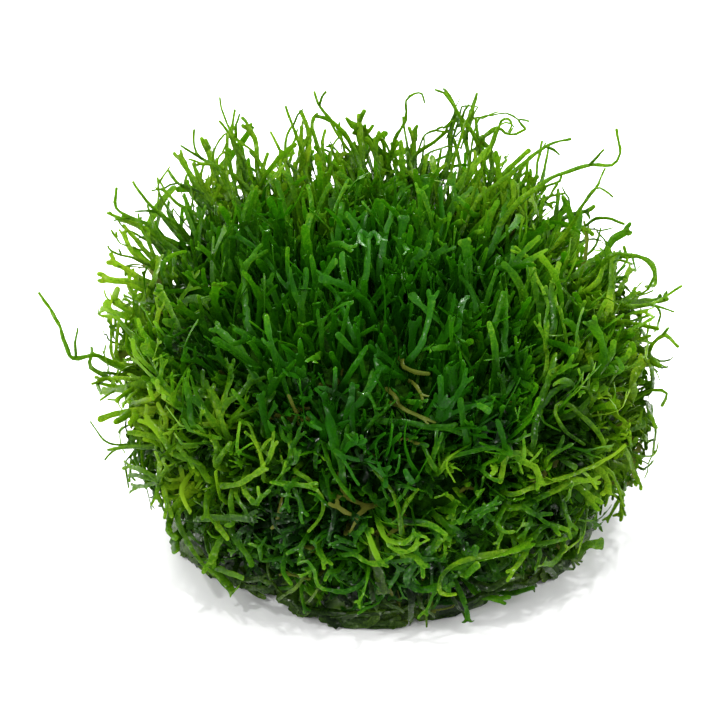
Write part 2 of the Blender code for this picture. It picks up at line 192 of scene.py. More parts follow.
def ribbonMaterial(name, freshRamp, warmRamp, through, wet, gleam):
    # Tone, age and place along the ribbon come from the mesh's own attributes. An age up
    # to a half turns a ribbon from the first ramp to the second, and one of 1 is old.
    material, start = newMaterial(name)
    finish = ribbonFinish

    def ramp(label, level):
        stops = tuple(zip(finish["levels"], finish[label]))
        return start.node("ShaderNodeValToRGB", {"stops": stops}, {0: level})

    given = {label: start.node("ShaderNodeAttribute", {"attribute_name": label}, None, 2)
             for label in ("tone", "age", "along", "margin")}
    place = start.node("ShaderNodeTexCoord", None, None, 3)
    for label, (scale, detail) in ribbonNoises.items():
        given[label] = start.node("ShaderNodeTexNoise", None,
                                  {"Vector": place, "Scale": scale, "Detail": detail})
    age, patch, mottle, grain = [given[label] for label in ("age", "patch", "mottle", "grain")]
    level = given["tone"] * levelShares["tone"]
    for label in ("along", "patch", "mottle", "grain", "margin"):
        level = level + (given[label] - 0.5) * levelShares[label]
    level = level + levelLift
    # A level far below nothing stands for a deep, shaded place
    shade = (level * -finish["shadeGain"]).clamped() * finish["shadeMost"]
    level = level.clamped()
    warmth = (age * finish["ageGain"] + (patch - 0.5) * finish["agePatch"]).clamped()
    colour = mixColour(start, warmth, ramp(freshRamp, level), ramp(warmRamp, level))
    oldness = (age - finish["oldFrom"]) * finish["ageGain"]
    oldness = (oldness * (finish["oldLeast"] + mottle * finish["oldMottle"])).clamped()
    colour = mixColour(start, oldness, colour, (*finish["old"], 1.0))
    colour = mixColour(start, shade, colour, (*finish["shadeColour"], 1.0))
    rough = finish["roughness"] - wet * finish["wetSmooths"] + (patch - 0.5) * finish["roughPatch"]
    rough = (rough + (mottle - 0.5) * finish["roughMottle"]).clamped()
    # Small spots where the wet surface shines
    spot = ((mottle - finish["wetFrom"]) * finish["wetGain"]).clamped() * gleam
    rough = rough + (finish["wetRoughness"] - rough) * spot
    # Broader stretches under a film of water
    film = ((given["film"] - finish["filmFrom"]) * finish["filmGain"]).clamped() * finish["filmCoat"]
    bump = start.node("ShaderNodeBump", None,
                      {"Strength": finish["bumpStrength"], "Distance": finish["bumpHeight"],
                       "Height": mottle + grain * finish["bumpGrain"]})
    leaf = start.node("ShaderNodeBsdfPrincipled", None,
                      {"Base Color": colour, "Roughness": rough, "Normal": bump,
                       "Coat Weight": (spot + film).clamped(), "Coat Roughness": finish["coatRoughness"],
                       "IOR": finish["ior"], "Specular IOR Level": finish["specular"] * (1 + wet)})
    light = start.node("ShaderNodeBsdfTranslucent", None, {"Color": (*finish[through], 1.0)})
    thin = level * (finish["throughHigh"] - finish["throughLow"]) + finish["throughLow"]
    thin = thin * (1 - shade) * (1 - wet * finish["wetBlocks"])
    both = start.node("ShaderNodeMixShader", None, {0: thin, 1: leaf, 2: light})
    start.node("ShaderNodeOutputMaterial", None, {"Surface": both})
    return material


# The close tangle deep between the ribbons is seen only as dark gaps, so its dark colour is
# painted shade; the wet foot under the clump is seen as a glossy rim
matFinish = {
    "deep": {"dark": (0.0022, 0.0120, 0.0002), "light": (0.0180, 0.0760, 0.0012), "scale": 620.0,
             "roughness": 0.7, "specular": 0.02, "bump": 0.0006},
    "foot": {"dark": (0.0040, 0.0150, 0.0010), "light": (0.0480, 0.1000, 0.0060), "scale": 240.0,
             "roughness": 0.24, "specular": 0.22, "bump": 0.0005},
    "detail": 4.0,
    "darkTo": 0.35,
    "lightFrom": 0.75,
    "bumpStrength": 0.8,
}


def matMaterial(name, finish):
    material, start = newMaterial(name)
    place = start.node("ShaderNodeTexCoord", None, None, 3)
    blotch = start.node("ShaderNodeTexNoise", None,
                        {"Vector": place, "Scale": finish["scale"], "Detail": matFinish["detail"]})
    stops = ((matFinish["darkTo"], finish["dark"]), (matFinish["lightFrom"], finish["light"]))
    colour = start.node("ShaderNodeValToRGB", {"stops": stops}, {0: blotch})
    bump = start.node("ShaderNodeBump", None,
                      {"Strength": matFinish["bumpStrength"], "Distance": finish["bump"], "Height": blotch})
    body = start.node("ShaderNodeBsdfPrincipled", None,
                      {"Base Color": colour, "Roughness": finish["roughness"], "Normal": bump,
                       "Specular IOR Level": finish["specular"]})
    start.node("ShaderNodeOutputMaterial", None, {"Surface": body})
    return material


# Sweeping ribbons along their runs

ribbonSection = {
    "radius": 0.5,
    "flat": 0.24,
    "thin": 0.45,
    "crispMargin": 0.9,
    "uneven": 0.42,
    "grain": 1.05,
}


def ribbonTree():
    # Turns runs of edges into flat ribbons: each point says how wide and which way is flat
    tree = bpy.data.node_groups.new("sweep ribbons", "GeometryNodeTree")
    sockets = {"Geometry": "Geometry", "Section Sides": "Int", "Thickness": "Float", "Finish": "Material"}
    for label, kind in sockets.items():
        tree.interface.new_socket(label, in_out="INPUT", socket_type="NodeSocket" + kind)
    tree.interface.new_socket("Geometry", in_out="OUTPUT", socket_type="NodeSocketGeometry")
    start = Wire(tree)
    entry = tree.nodes.new("NodeGroupInput")
    runs, sides, thickness, finish = [Wire(tree, entry.outputs[index]) for index in range(len(sockets))]

    def attribute(label, kind="FLOAT"):
        return start.node("GeometryNodeInputNamedAttribute", {"data_type": kind}, {"Name": label})

    curves = start.node("GeometryNodeMeshToCurve", None, {"Mesh": runs})
    curves = start.node("GeometryNodeSetCurveNormal", {"mode": "FREE"},
                        {"Curve": curves, "Normal": attribute("facing", "FLOAT_VECTOR")})
    ring = start.node("GeometryNodeCurvePrimitiveCircle", None,
                      {"Resolution": sides, "Radius": ribbonSection["radius"]})
    ring = start.node("GeometryNodeTransform", None, {"Geometry": ring, "Rotation": (0, 0, math.pi / 2)})
    spot = start.node("GeometryNodeInputPosition")
    side = start.node("ShaderNodeSeparateXYZ", None, {"Vector": spot}, 1)
    margin = side.maths("ABSOLUTE", side) * (1 / ribbonSection["radius"])
    ring = start.node("GeometryNodeStoreNamedAttribute", {"data_type": "FLOAT", "domain": "POINT"},
                      {"Geometry": ring, "Name": "margin", "Value": margin})
    flatten = start.node("ShaderNodeCombineXYZ", None, {"X": thickness, "Y": 1.0, "Z": 1.0})
    ring = start.node("GeometryNodeTransform", None, {"Geometry": ring, "Scale": flatten})
    swept = start.node("GeometryNodeCurveToMesh", None,
                       {"Curve": curves, "Profile Curve": ring, "Scale": attribute("width"),
                        "Fill Caps": True})
    # The faces are smooth and the two margins crisp, so a ribbon looks flat
    crisp = start.node("FunctionNodeCompare", {"data_type": "FLOAT", "operation": "GREATER_THAN"},
                       {0: attribute("margin"), 1: ribbonSection["crispMargin"]})
    smooth = start.node("GeometryNodeSetShadeSmooth", {"domain": "EDGE"},
                        {"Geometry": swept, "Selection": crisp, "Shade Smooth": False})
    real = start.node("GeometryNodeRealizeInstances", None, {"Geometry": smooth})
    done = start.node("GeometryNodeSetMaterial", None, {"Geometry": real, "Material": finish})
    leave = tree.nodes.new("NodeGroupOutput")
    tree.links.new(done.socket, leave.inputs[0])
    return tree


sweepTree = ribbonTree()
valueLabels = ("width", "tone", "age", "along")


def newBunch():
    return {label: [] for label in ("points", "edges", "facing", *valueLabels)}


def addRun(bunch, points, facings, widths, tone, age, alongs, depthShadeShare):
    # One run of points; deep points take a darker tone than those at the surface, partly a deeper green and
    # partly painted shade from the ribbons above them
    base = len(bunch["points"])
    bunch["points"].extend(points)
    bunch["facing"].extend(facings)
    bunch["width"].extend(width * (1 + ribbonSection["uneven"] * noise.noise(point * ribbonSection["grain"]))
                          for point, width in zip(points, widths))
    bunch["tone"].extend(tone + (outness(point) - tone) * depthShadeShare + shadeAndLightAt(point) for point in points)
    bunch["age"].extend([age] * len(points))
    bunch["along"].extend(alongs)
    bunch["edges"].extend((base + index, base + index + 1) for index in range(len(points) - 1))


def finishPiece(piece, node):
    bpy.context.scene.collection.objects.link(piece)
    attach(piece, "root")
    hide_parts(node)


def sweepBunch(name, bunch, sides, material, section="flat", node="cushion"):
    # The runs become a mesh of edges with their values, then one plain mesh of ribbons
    runs = bpy.data.meshes.new(name + " runs")
    runs.from_pydata([point * mm for point in bunch["points"]], bunch["edges"], [])
    for label in valueLabels:
        scale = mm if label == "width" else 1.0
        layer = runs.attributes.new(label, "FLOAT", "POINT")
        layer.data.foreach_set("value", [value * scale for value in bunch[label]])
    layer = runs.attributes.new("facing", "FLOAT_VECTOR", "POINT")
    layer.data.foreach_set("vector", [part for vector in bunch["facing"] for part in vector])
    guide = bpy.data.objects.new(name + " guide", runs)
    bpy.context.scene.collection.objects.link(guide)
    modifier = guide.modifiers.new("ribbons", "NODES")
    modifier.node_group = sweepTree
    inputs = {item.name: item.identifier for item in sweepTree.interface.items_tree
              if item.in_out == "INPUT"}
    modifier[inputs["Section Sides"]] = sides
    modifier[inputs["Thickness"]] = ribbonSection[section]
    modifier[inputs["Finish"]] = material
    bpy.context.view_layer.update()
    evaluated = guide.evaluated_get(bpy.context.evaluated_depsgraph_get())
    mesh = bpy.data.meshes.new_from_object(evaluated)
    bpy.data.objects.remove(guide, do_unlink=True)
    mesh.name = name
    for label in ("facing", "width"):
        if label in mesh.attributes:
            mesh.attributes.remove(mesh.attributes[label])
    triangles = sum(len(face.vertices) - 2 for face in mesh.polygons)
    print("%s: %d points on its runs, %d triangles" % (name, len(bunch["points"]), triangles))
    finishPiece(bpy.data.objects.new(name, mesh), node)


# Where the photo shows a point

photoFrame = {
    "pixelsPerMm": 6.5,
    "middlePixel": 360,
    "nearestDepth": 58.0,
    "depthStep": 0.25,
}


def seenPoint(across, rise, depth):
    # The point at this depth that is seen at this place in the picture
    distance = viewSettings["distance"]
    middle = viewSettings["middle"]
    behind = depth - middle.y
    top = rise * (distance + behind * math.cos(tilt)) - distance * behind * math.sin(tilt)
    height = top / (distance * math.cos(tilt) + rise * math.sin(tilt))
    away = distance + behind * math.cos(tilt) - height * math.sin(tilt)
    return Vector((middle.x + across * away / distance, depth,
                   max(height + middle.z, cushionForm["floor"])))


def pictured(point):
    # Where a point is seen in the picture, and how far from the eye
    place = point - viewSettings["middle"]
    away = viewSettings["distance"] + place.y * math.cos(tilt) - place.z * math.sin(tilt)
    scale = viewSettings["distance"] / away
    rise = place.y * math.sin(tilt) + place.z * math.cos(tilt)
    return place.x * scale, rise * scale, away


def fromPixel(pixel):
    scale = photoFrame["pixelsPerMm"]
    middle = photoFrame["middlePixel"]
    return (pixel[0] - middle) / scale, (middle - pixel[1]) / scale


# Growing ribbons

# How far the ribbons reach from the axis at a height
envelope = ((0.0, 32.0), (3.0, 36.0), (6.0, 38.6), (14.0, 41.6), (22.0, 43.2), (30.0, 43.8),
            (36.0, 43.4), (42.0, 41.5), (48.0, 38.5), (53.0, 34.0))

# Where the clump is slimmer: towards this way, round this height, over this much height, by so
# much, or fuller where that is less than nothing
dents = {
    "left shoulder": (Vector((-1.0, -0.1, 0.0)).normalized(), 20.5, 7.0, 2.6),
    "left foot": (Vector((-1.0, -0.25, 0.0)).normalized(), 5.0, 9.0, 4.8),
    "right foot": (Vector((0.9, -0.4, 0.0)).normalized(), 6.0, 7.0, 2.0),
    "right belly": (Vector((1.0, -0.1, 0.0)).normalized(), 15.0, 6.0, -1.2),
    "right back crown": (Vector((0.75, 0.66, 0.0)).normalized(), 43.0, 11.0, 2.0),
    "right crown": (Vector((0.95, 0.2, 0.0)).normalized(), 43.0, 9.0, 3.0),
    "front foot": (Vector((0.0, -1.0, 0.0)), 5.0, 9.0, 2.8),
}

depthForm = {
    "sideStart": 4.5,
    "sideReach": 8.5,
    "crownStart": 33.0,
    "crownReach": 15.0,
    "shoulderHeight": 30.0,
}


def reachAt(height):
    for (low, near), (high, far) in zip(envelope, envelope[1:]):
        if height <= high:
            share = max(height - low, 0.0) / (high - low)
            return near + (far - near) * share
    return envelope[-1][1]


def dentAt(point):
    radius = max(math.hypot(point.x, point.y), 1.0)
    total = 0.0
    for way, height, span, amount in dents.values():
        facing = (point.x * way.x + point.y * way.y) / radius
        near = max(1 - ((point.z - height) / span) ** 2, 0.0)
        total += amount * near * max(facing, 0.0) ** 2
    return total


def outness(point):
    # 0 deep in the tangle, 1 at the tips
    radius = surfaceRadius(min(point.z, depthForm["shoulderHeight"])) - depthForm["sideStart"]
    beside = (math.hypot(point.x, point.y) - radius) / depthForm["sideReach"]
    above = (point.z - depthForm["crownStart"]) / depthForm["crownReach"]
    return min(max(beside, above, 0.0), 1.0)


# Fresh and shaded patches: how large they are, and how much they change the tone
patchForm = {
    "size": 9.0,
    "tone": 0.6,
    "holeSize": 6.5,
    "hole": -0.2,
    "warmth": 0.5,
}

# Painted shade and painted light, partly with the clump's own tone: places that the photo shows darker, in
# hollows, folds and gaps, and paler, at the edges and on lit ribbons: where in the picture, how large there,
# and by how much
shadeAndLightPlaces = {
    "crown middle": ((385, 295), 80, -0.1),
    "crown left": ((275, 280), 36, -0.1),
    "rim thick": ((262, 342), 24, -0.2),
    "rim left": ((328, 357), 18, 0.15),
    "crown right": ((460, 290), 45, -0.35),
    "top middle": ((306, 230), 34, 0.3),
    "top centre": ((472, 215), 24, 0.25),
    "top right": ((500, 180), 70, 0.22),
    "top corner": ((532, 208), 26, 0.18),
    "crown corner": ((525, 256), 16, -0.2),
    "crown right high": ((466, 253), 18, -0.2),
    "top left": ((300, 160), 60, 0.2),
    "right shoulder": ((566, 258), 38, 0.45),
    "right pale": ((592, 295), 24, 0.5),
    "right dim": ((590, 321), 14, -0.2),
    "right inner": ((586, 353), 18, 0.5),
    "right rim": ((640, 330), 50, 0.1),
    "right back": ((612, 360), 18, -0.2),
    "left edge high": ((120, 290), 40, 0.25),
    "left edge": ((130, 362), 28, 0.35),
    "left edge inner": ((152, 320), 20, 0.25),
    "left edge low": ((155, 414), 32, 0.55),
    "left fold": ((198, 338), 40, -0.4),
    "left fold low": ((192, 408), 20, -0.5),
    "rim middle": ((390, 352), 50, -0.2),
    "rim right": ((450, 390), 36, -0.2),
    "rim bright": ((472, 348), 20, 0.2),
    "rim low": ((375, 421), 18, 0.2),
    "flank arch": ((324, 453), 18, 0.3),
    "crown spot": ((304, 277), 22, -0.3),
    "rim far right": ((508, 345), 30, -0.25),
    "inner far right": ((556, 340), 16, 0.3),
    "right fold": ((515, 368), 24, -0.45),
    "right antler": ((548, 365), 20, 0.4),
    "below rim left": ((270, 400), 40, -0.2),
    "below rim": ((332, 396), 34, -0.8),
    "flank fold": ((375, 462), 36, -0.6),
    "flank gap": ((497, 432), 24, -0.7),
    "flank hollow": ((470, 470), 12, -0.35),
    "flank knot": ((460, 490), 14, 1.2),
    "flank tuft": ((523, 489), 14, 0.25),
    "flank lobes": ((552, 486), 14, 0.25),
    "flank far left": ((213, 473), 14, 0.3),
    "foot curl": ((322, 599), 14, 0.4),
    "low gap": ((466, 539), 14, -0.25),
    "flank hook": ((493, 469), 18, 0.5),
    "flank right": ((573, 447), 30, -0.7),
    "left antler": ((222, 410), 34, 0.55),
    "left tufts": ((272, 448), 26, 0.55),
    "left corner": ((205, 455), 20, -0.2),
    "left star": ((184, 488), 24, 1.0),
    "left wet": ((240, 480), 32, 0.2),
    "centre fork": ((443, 460), 20, 0.6),
    "right lobes": ((530, 463), 24, 0.35),
    "right bands": ((590, 478), 44, 0.2),
    "low left": ((280, 520), 36, -0.6),
    "low far left": ((240, 520), 24, -0.2),
    "low middle": ((344, 524), 32, -0.7),
    "low curl": ((406, 530), 16, -0.35),
    "low centre": ((442, 514), 22, 0.6),
    "low inner": ((441, 548), 18, 0.55),
    "low bright": ((373, 540), 20, 0.55),
    "right edge low": ((620, 416), 32, 0.35),
    "top far left": ((222, 190), 24, 0.3),
    "low group": ((390, 548), 30, 0.2),
    "low notch": ((473, 537), 20, -0.5),
    "low right": ((440, 570), 18, -0.6),
    "low fold": ((457, 573), 14, 0.2),
    "low far right": ((548, 514), 24, -0.55),
    "low strap": ((505, 556), 34, 0.25),
    "foot left": ((305, 588), 22, 0.4),
    "rim hollow": ((382, 355), 14, -0.5),
    "rim hollow low": ((348, 398), 12, -0.4),
    "rim hollow left": ((287, 362), 14, -0.4),
    "rim hollow right": ((442, 402), 14, -0.5),
    "crown hollow": ((290, 283), 12, -0.4),
    "crown hollow right": ((508, 268), 14, -0.4),
    "flank hollow left": ((355, 454), 12, -0.6),
    "foot hollow": ((412, 592), 12, -0.4),
    "foot middle": ((349, 575), 14, 0.3),
    "foot right": ((389, 563), 14, -0.3),
    "shoulder rim": ((610, 311), 18, 0.4),
    "shoulder inner": ((562, 236), 16, 0.2),
    "low star": ((514, 514), 16, 0.35),
    "middle right": ((455, 470), 14, 0.3),
    "middle dark": ((401, 486), 16, -0.5),
    "rim gap": ((334, 391), 14, -0.7),
    "right rim low": ((619, 462), 18, 0.3),
    "top inner": ((327, 228), 16, 0.25),
}


# The change that these make, kept for each square millimetre of the picture
shadeAndLightCells = {}


def shadeAndLightAt(point):
    across, rise, away = pictured(point)
    cell = (round(across), round(rise))
    if cell not in shadeAndLightCells:
        tone = 0.0
        for place, size, change in shadeAndLightPlaces.values():
            placeAcross, placeRise = fromPixel(place)
            reach = size / photoFrame["pixelsPerMm"]
            gone = ((cell[0] - placeAcross) ** 2 + (cell[1] - placeRise) ** 2) / reach ** 2
            tone += change * max(1 - gone, 0.0)
        shadeAndLightCells[cell] = tone
    return shadeAndLightCells[cell]


def patchTone(point):
    return patchForm["tone"] * noise.noise(point / patchForm["size"])


def warmthAt(point):
    # The sides are paler and more yellow than the middle
    across = min(abs(point.x) / cushionForm["waistRadius"], 1.0)
    return patchForm["warmth"] * across ** 2


def squareTo(vector, heading):
    # The part of a vector that is square to a heading, or any such way where there is none
    flat = vector - heading * vector.dot(heading)
    if flat.length < leastLength:
        flat = heading.orthogonal()
    return flat.normalized()


def anyDirection(dice):
    return Vector((dice.gauss(0, 1), dice.gauss(0, 1), dice.gauss(0, 1))).normalized()


# How near the reach, the foot and the tips a ribbon begins to turn along them, how much of its
# climb is left at the tips, and how high it rests on the floor for its width
edgeForm = {"side": 1.5, "foot": 2.0, "top": 1.5, "topClimb": 0.3, "rest": 0.4}


def keepInside(point, heading, inset, low):
    # Near the reach of the clump a ribbon turns along it, and near the foot it levels out
    radius = math.hypot(point.x, point.y)
    spare = reachAt(point.z) - dentAt(point) - inset - radius
    if spare < edgeForm["side"]:
        outward = Vector((point.x, point.y, 0)) / radius
        push = heading.dot(outward)
        if push > 0:
            heading = heading - outward * push * (1 - max(spare, 0.0) / edgeForm["side"])
    if point.z < low + edgeForm["foot"] and heading.z < 0:
        heading = Vector((heading.x, heading.y, heading.z * max(point.z - low, 0.0) / edgeForm["foot"]))
    if point.z > cushionForm["tipHeight"] - edgeForm["top"] and heading.z > 0:
        heading = Vector((heading.x, heading.y, heading.z * edgeForm["topClimb"]))
    return heading.normalized()


# How a ribbon swells above its root and flares over its last third, where it forks
widthForm = {"root": 0.82, "swell": 0.18, "swellGain": 4.0, "flareGain": 3.0, "flareFrom": 2.0}

# Its ends. The web, the round tip and the roots of the branches are in shares of its width
# there. Branches turn by these shares of the spread, tilt by so many degrees, and are at least
# so thin and bend as if at least so short. Then how far along a fork counts, and how much the
# bend changes from step to step.
endForm = {
    "web": 0.2,
    "webWidth": 0.75,
    "tipBack": 0.25,
    "tipOut": 0.12,
    "tipWidth": 0.45,
    "branchBack": 0.34,
    "branchAside": 0.25,
    "branchTurn": (0.6, 1.2),
    "branchTilt": 9.0,
    "branchWidth": (0.84, 1.04),
    "thinnest": 0.45,
    "shortest": 2.0,
    "forkAlong": 0.6,
    "rollOn": 0.5,
}


def ribbonWidths(count, width, taper, flare):
    # Widest a little above the root, thinner to the end, wider again where it forks
    widths = []
    for index in range(count):
        share = index / (count - 1)
        size = width * (1 - taper * share)
        size *= widthForm["root"] + widthForm["swell"] * min(share * widthForm["swellGain"], 1.0)
        size *= 1 + flare * max(share * widthForm["flareGain"] - widthForm["flareFrom"], 0.0) ** 2
        widths.append(size)
    return widths


def endInWeb(points, facings, widths, heading):
    # The web between the two branches of a fork
    points.append(points[-1] + heading * widths[-1] * endForm["web"])
    facings.append(facings[-1])
    widths.append(widths[-1] * endForm["webWidth"])


def growRibbon(bunch, dice, look, start, heading, facing, length, width, forks, tone, age,
               alongStart=0.0, opening=0.0):
    # One ribbon bends along its run, then ends in a round tip or forks in its own plane
    steps = max(2, round(length / look["step"]))
    stride = length / steps
    roll = dice.gauss(0, look["curl"])
    sway = dice.gauss(0, look["sway"]) + opening
    twist = dice.gauss(0, look["twist"])
    facing = squareTo(facing, heading)
    place = start.copy()
    points = [place.copy()]
    facings = [facing]
    for step in range(steps):
        across = heading.cross(facing)
        heading = heading + (facing * roll + across * sway + look["pull"]) * stride
        heading = keepInside(place, heading.normalized(), look["inset"], look["floor"])
        place = place + heading * stride
        place.z = max(place.z, cushionForm["floor"] + width * edgeForm["rest"])
        roll += dice.gauss(0, look["curl"]) * endForm["rollOn"]
        sway += dice.gauss(0, look["wander"])
        facing = squareTo(Matrix.Rotation(twist * stride, 3, heading) @ facing, heading)
        points.append(place.copy())
        facings.append(facing)
    forked = forks > 0 or dice.random() < look["tipFork"]
    alongEnd = alongStart + (1 - alongStart) * (endForm["forkAlong"] if forked else 1.0)
    widths = ribbonWidths(len(points), width, look["taper"], look["flare"] if forked else 0.0)
    end = widths[-1]
    if forked:
        endInWeb(points, facings, widths, heading)
    else:
        # A blunt round tip
        points[-1] = place - heading * end * endForm["tipBack"]
        points.append(place + heading * end * endForm["tipOut"])
        facings.append(facing)
        widths.append(end * endForm["tipWidth"])
    last = len(points) - 1
    alongs = [alongStart + (alongEnd - alongStart) * index / last for index in range(last + 1)]
    addRun(bunch, points, facings, widths, tone, age, alongs, look["depthShadeShare"])
    if forked:
        growFork(bunch, dice, look, place, heading, facing, end, forks, tone, age, alongEnd)


def growFork(bunch, dice, look, place, heading, facing, end, forks, tone, age, along):
    # Two branches from a web, which spread in the ribbon's own plane and then bend on or back
    nextLook = look if forks > 0 else dict(look, tipFork=0.0)
    spread = math.radians(dice.uniform(*look["forkAngle"]))
    across = heading.cross(facing)
    lengths = look["forkLength"] if forks > 0 else look["tipLength"]
    for side in (-1, 1):
        turn = spread * dice.uniform(*endForm["branchTurn"])
        branch = heading * math.cos(turn) + across * side * math.sin(turn)
        lean = Matrix.Rotation(math.radians(dice.gauss(0, endForm["branchTilt"])), 3, branch)
        reach = dice.uniform(*lengths)
        opening = side * dice.choice(look["opening"]) * spread / max(reach, endForm["shortest"])
        root = place - heading * end * endForm["branchBack"] + across * side * end * endForm["branchAside"]
        size = end / (1 + look["flare"]) * dice.uniform(*endForm["branchWidth"])
        growRibbon(bunch, dice, nextLook, root, branch, lean @ facing, reach,
                   max(size, endForm["thinnest"]), max(forks - 1, 0), tone, age, along, opening)


def growThallus(bunch, seen, dice, look, start, heading, facing, length, width, forks, tone, age):
    # A whole forked plant is grown, then kept unless it would hide one of the seen ribbons
    made = newBunch()
    growRibbon(made, dice, look, start, heading, facing, length, width, forks, tone, age)
    if seen.hidden(made["points"]):
        return
    base = len(bunch["points"])
    for label in ("points", "facing", *valueLabels):
        bunch[label].extend(made[label])
    bunch["edges"].extend((first + base, second + base) for first, second in made["edges"])


# Ribbons that are placed as the photo shows them

def standOff(point):
    # How far a point stands off the cushion's surface, seen from the cushion's middle
    radius = math.hypot(point.x, point.y)
    rise = point.z - cushionForm["waistHeight"]
    if rise < 0:
        return radius - surfaceRadius(point.z)
    power = cushionForm["squareness"]
    share = (radius / cushionForm["waistRadius"]) ** power
    share += (rise / (cushionForm["crownHeight"] - cushionForm["waistHeight"])) ** power
    return math.hypot(radius, rise) * (1 - share ** (-1 / power))


def levelStandOff(point):
    # The same, but measured level with the ground, as the solids of the single ribbons are
    return math.hypot(point.x, point.y) - surfaceRadius(min(point.z, cushionForm["crownHeight"]))


def searchPoint(across, rise, lift, clearance, farthest, lowest):
    # The nearest point seen at this place that stands this far off the cushion
    best = None
    bestClear = math.inf
    depth = -photoFrame["nearestDepth"]
    while depth < farthest:
        point = seenPoint(across, rise, depth)
        clear = clearance(point)
        if clear < bestClear:
            best = point
            bestClear = clear
        if clear <= lift or point.z <= lowest:
            break
        depth += photoFrame["depthStep"]
    return best


def lyingPoint(across, rise, lift):
    return searchPoint(across, rise, lift, standOff, photoFrame["nearestDepth"], cushionForm["floor"])


def levelPoint(across, rise, lift):
    return searchPoint(across, rise, lift, levelStandOff, 0.0, -math.inf)


def smoothRoute(points, stride):
    # A smooth curve through the points of a route
    ends = [points[0] * 2 - points[1]] + list(points) + [points[-1] * 2 - points[-2]]
    route = []
    for index in range(1, len(ends) - 2):
        before, here, after, beyond = ends[index - 1:index + 3]
        steps = max(2, round((after - here).length / stride))
        for step in range(steps):
            t = step / steps
            route.append(0.5 * (here * 2 + (after - before) * t
                                + (before * 2 - here * 5 + after * 4 - beyond) * t ** 2
                                + (here * 3 - before - after * 3 + beyond) * t ** 3))
    route.append(ends[-2])
    return route


# How much of a ribbon may stand in front of those seen, how near behind counts as in front,
# and how closely the seen ones are marked
seenLimits = {"share": 0.15, "margin": 0.6, "stride": 0.5}


class SeenRibbons:
    # Remembers where the placed ribbons are seen, so that others can keep from in front of them
    def __init__(self):
        self.cells = {}

    def mark(self, points):
        for point in smoothRoute(points, seenLimits["stride"]):
            across, rise, away = pictured(point)
            cell = (round(across), round(rise))
            self.cells[cell] = min(self.cells.get(cell, math.inf), away)

    def hidden(self, points):
        # Whether too much of a ribbon would stand in front of those seen
        covering = 0
        for point in points:
            across, rise, away = pictured(point)
            if away < self.cells.get((round(across), round(rise)), 0.0) - seenLimits["margin"]:
                covering += 1
        return covering > len(points) * seenLimits["share"]


placedLook = {
    "stride": 1.0,
    "sides": 8,
    "depthShadeShare": 0.3,
    "turn": 0.3,
    "rootBack": 2.0,
    "rootIn": 3.5,
    "wobble": 0.22,
    "wobbleSize": 2.6,
    "tipFlare": 0.45,
    "tipBack": 0.3,
    "tipOut": 0.16,
    "tipWidths": (0.8, 0.34),
    "lobesAlong": 0.7,
    "forkWidth": 0.9,
}

# Groups of placed ribbons: how far they stand off the cushion at their roots and their tips,
# how much they taper, how many fork at the tip, and how yellow they are at least
placedForms = {
    "crown": {"root": 0.5, "tip": 5.5, "taper": 0.3, "tipFork": 0.6, "age": 0.0},
    "shoulder": {"root": 0.5, "tip": 3.5, "taper": 0.3, "tipFork": 0.6, "age": 0.0},
    "side": {"root": 0.6, "tip": 3.0, "taper": 0.3, "tipFork": 0.6, "age": 0.0},
    "old": {"root": 0.6, "tip": 3.0, "taper": 0.3, "tipFork": 0.3, "age": 0.9},
    "edge": {"root": 1.0, "tip": 6.0, "taper": 0.4, "tipFork": 0.1, "age": 0.35, "scale": 1.15},
    "foot": {"root": 1.2, "tip": 1.4, "taper": 0.3, "tipFork": 0.3, "age": 0.2},
    "stray": {"taper": 0.5, "tipFork": 0.1},
    "strayFork": {"taper": 0.35, "tipFork": 0.0},
}

# How the lobes at the end of a placed ribbon grow
lobeLook = {
    "forkAngle": (14, 34),
    "opening": (-0.8, -0.3, 0.3),
    "tipLength": (0.8, 2.3),
    "tipFork": 0.0,
    "step": 0.8,
    "curl": 0.06,
    "sway": 0.05,
    "wander": 0.05,
    "twist": 0.1,
    "taper": 0.15,
    "flare": 0.45,
    "inset": -9.0,
    "floor": 0.4,
    "depthShadeShare": 0.3,
    "pull": Vector((0, 0, 0)),
}


def placeRibbon(bunch, dice, points, width, tone, age, form):
    # A ribbon along a given route, its flat side turned mostly to the front
    route = smoothRoute(points, placedLook["stride"])
    route = [point + noise.noise_vector(point / placedLook["wobbleSize"]) * placedLook["wobble"]
             for point in route]
    for point in route:
        point.z = max(point.z, cushionForm["floor"] + width * edgeForm["rest"])
    last = len(route) - 1
    headings = [(route[min(index + 1, last)] - route[max(index - 1, 0)]).normalized()
                for index in range(last + 1)]
    roll = dice.gauss(0, placedLook["turn"])
    twist = dice.gauss(0, placedLook["turn"]) / last
    facings = []
    for index, heading in enumerate(headings):
        flat = squareTo(toEye, heading)
        facings.append(Matrix.Rotation(roll + twist * index, 3, heading) @ flat)
    forked = dice.random() < form["tipFork"]
    widths = ribbonWidths(last + 1, width, form["taper"], placedLook["tipFlare"] if forked else 0.0)
    end = widths[-1]
    heading = headings[-1]
    tip = route[-1]
    if forked:
        endInWeb(route, facings, widths, heading)
        growFork(bunch, dice, lobeLook, tip, heading, facings[-1], end, 0, tone, age,
                 placedLook["lobesAlong"])
    else:
        route[-1] = tip - heading * end * placedLook["tipBack"]
        route.extend([tip, tip + heading * end * placedLook["tipOut"]])
        facings.extend([facings[-1], facings[-1]])
        widths.extend(end * share for share in placedLook["tipWidths"])
    last = len(route) - 1
    alongs = [index / last for index in range(last + 1)]
    addRun(bunch, route, facings, widths, tone, age, alongs, placedLook["depthShadeShare"])
    return route


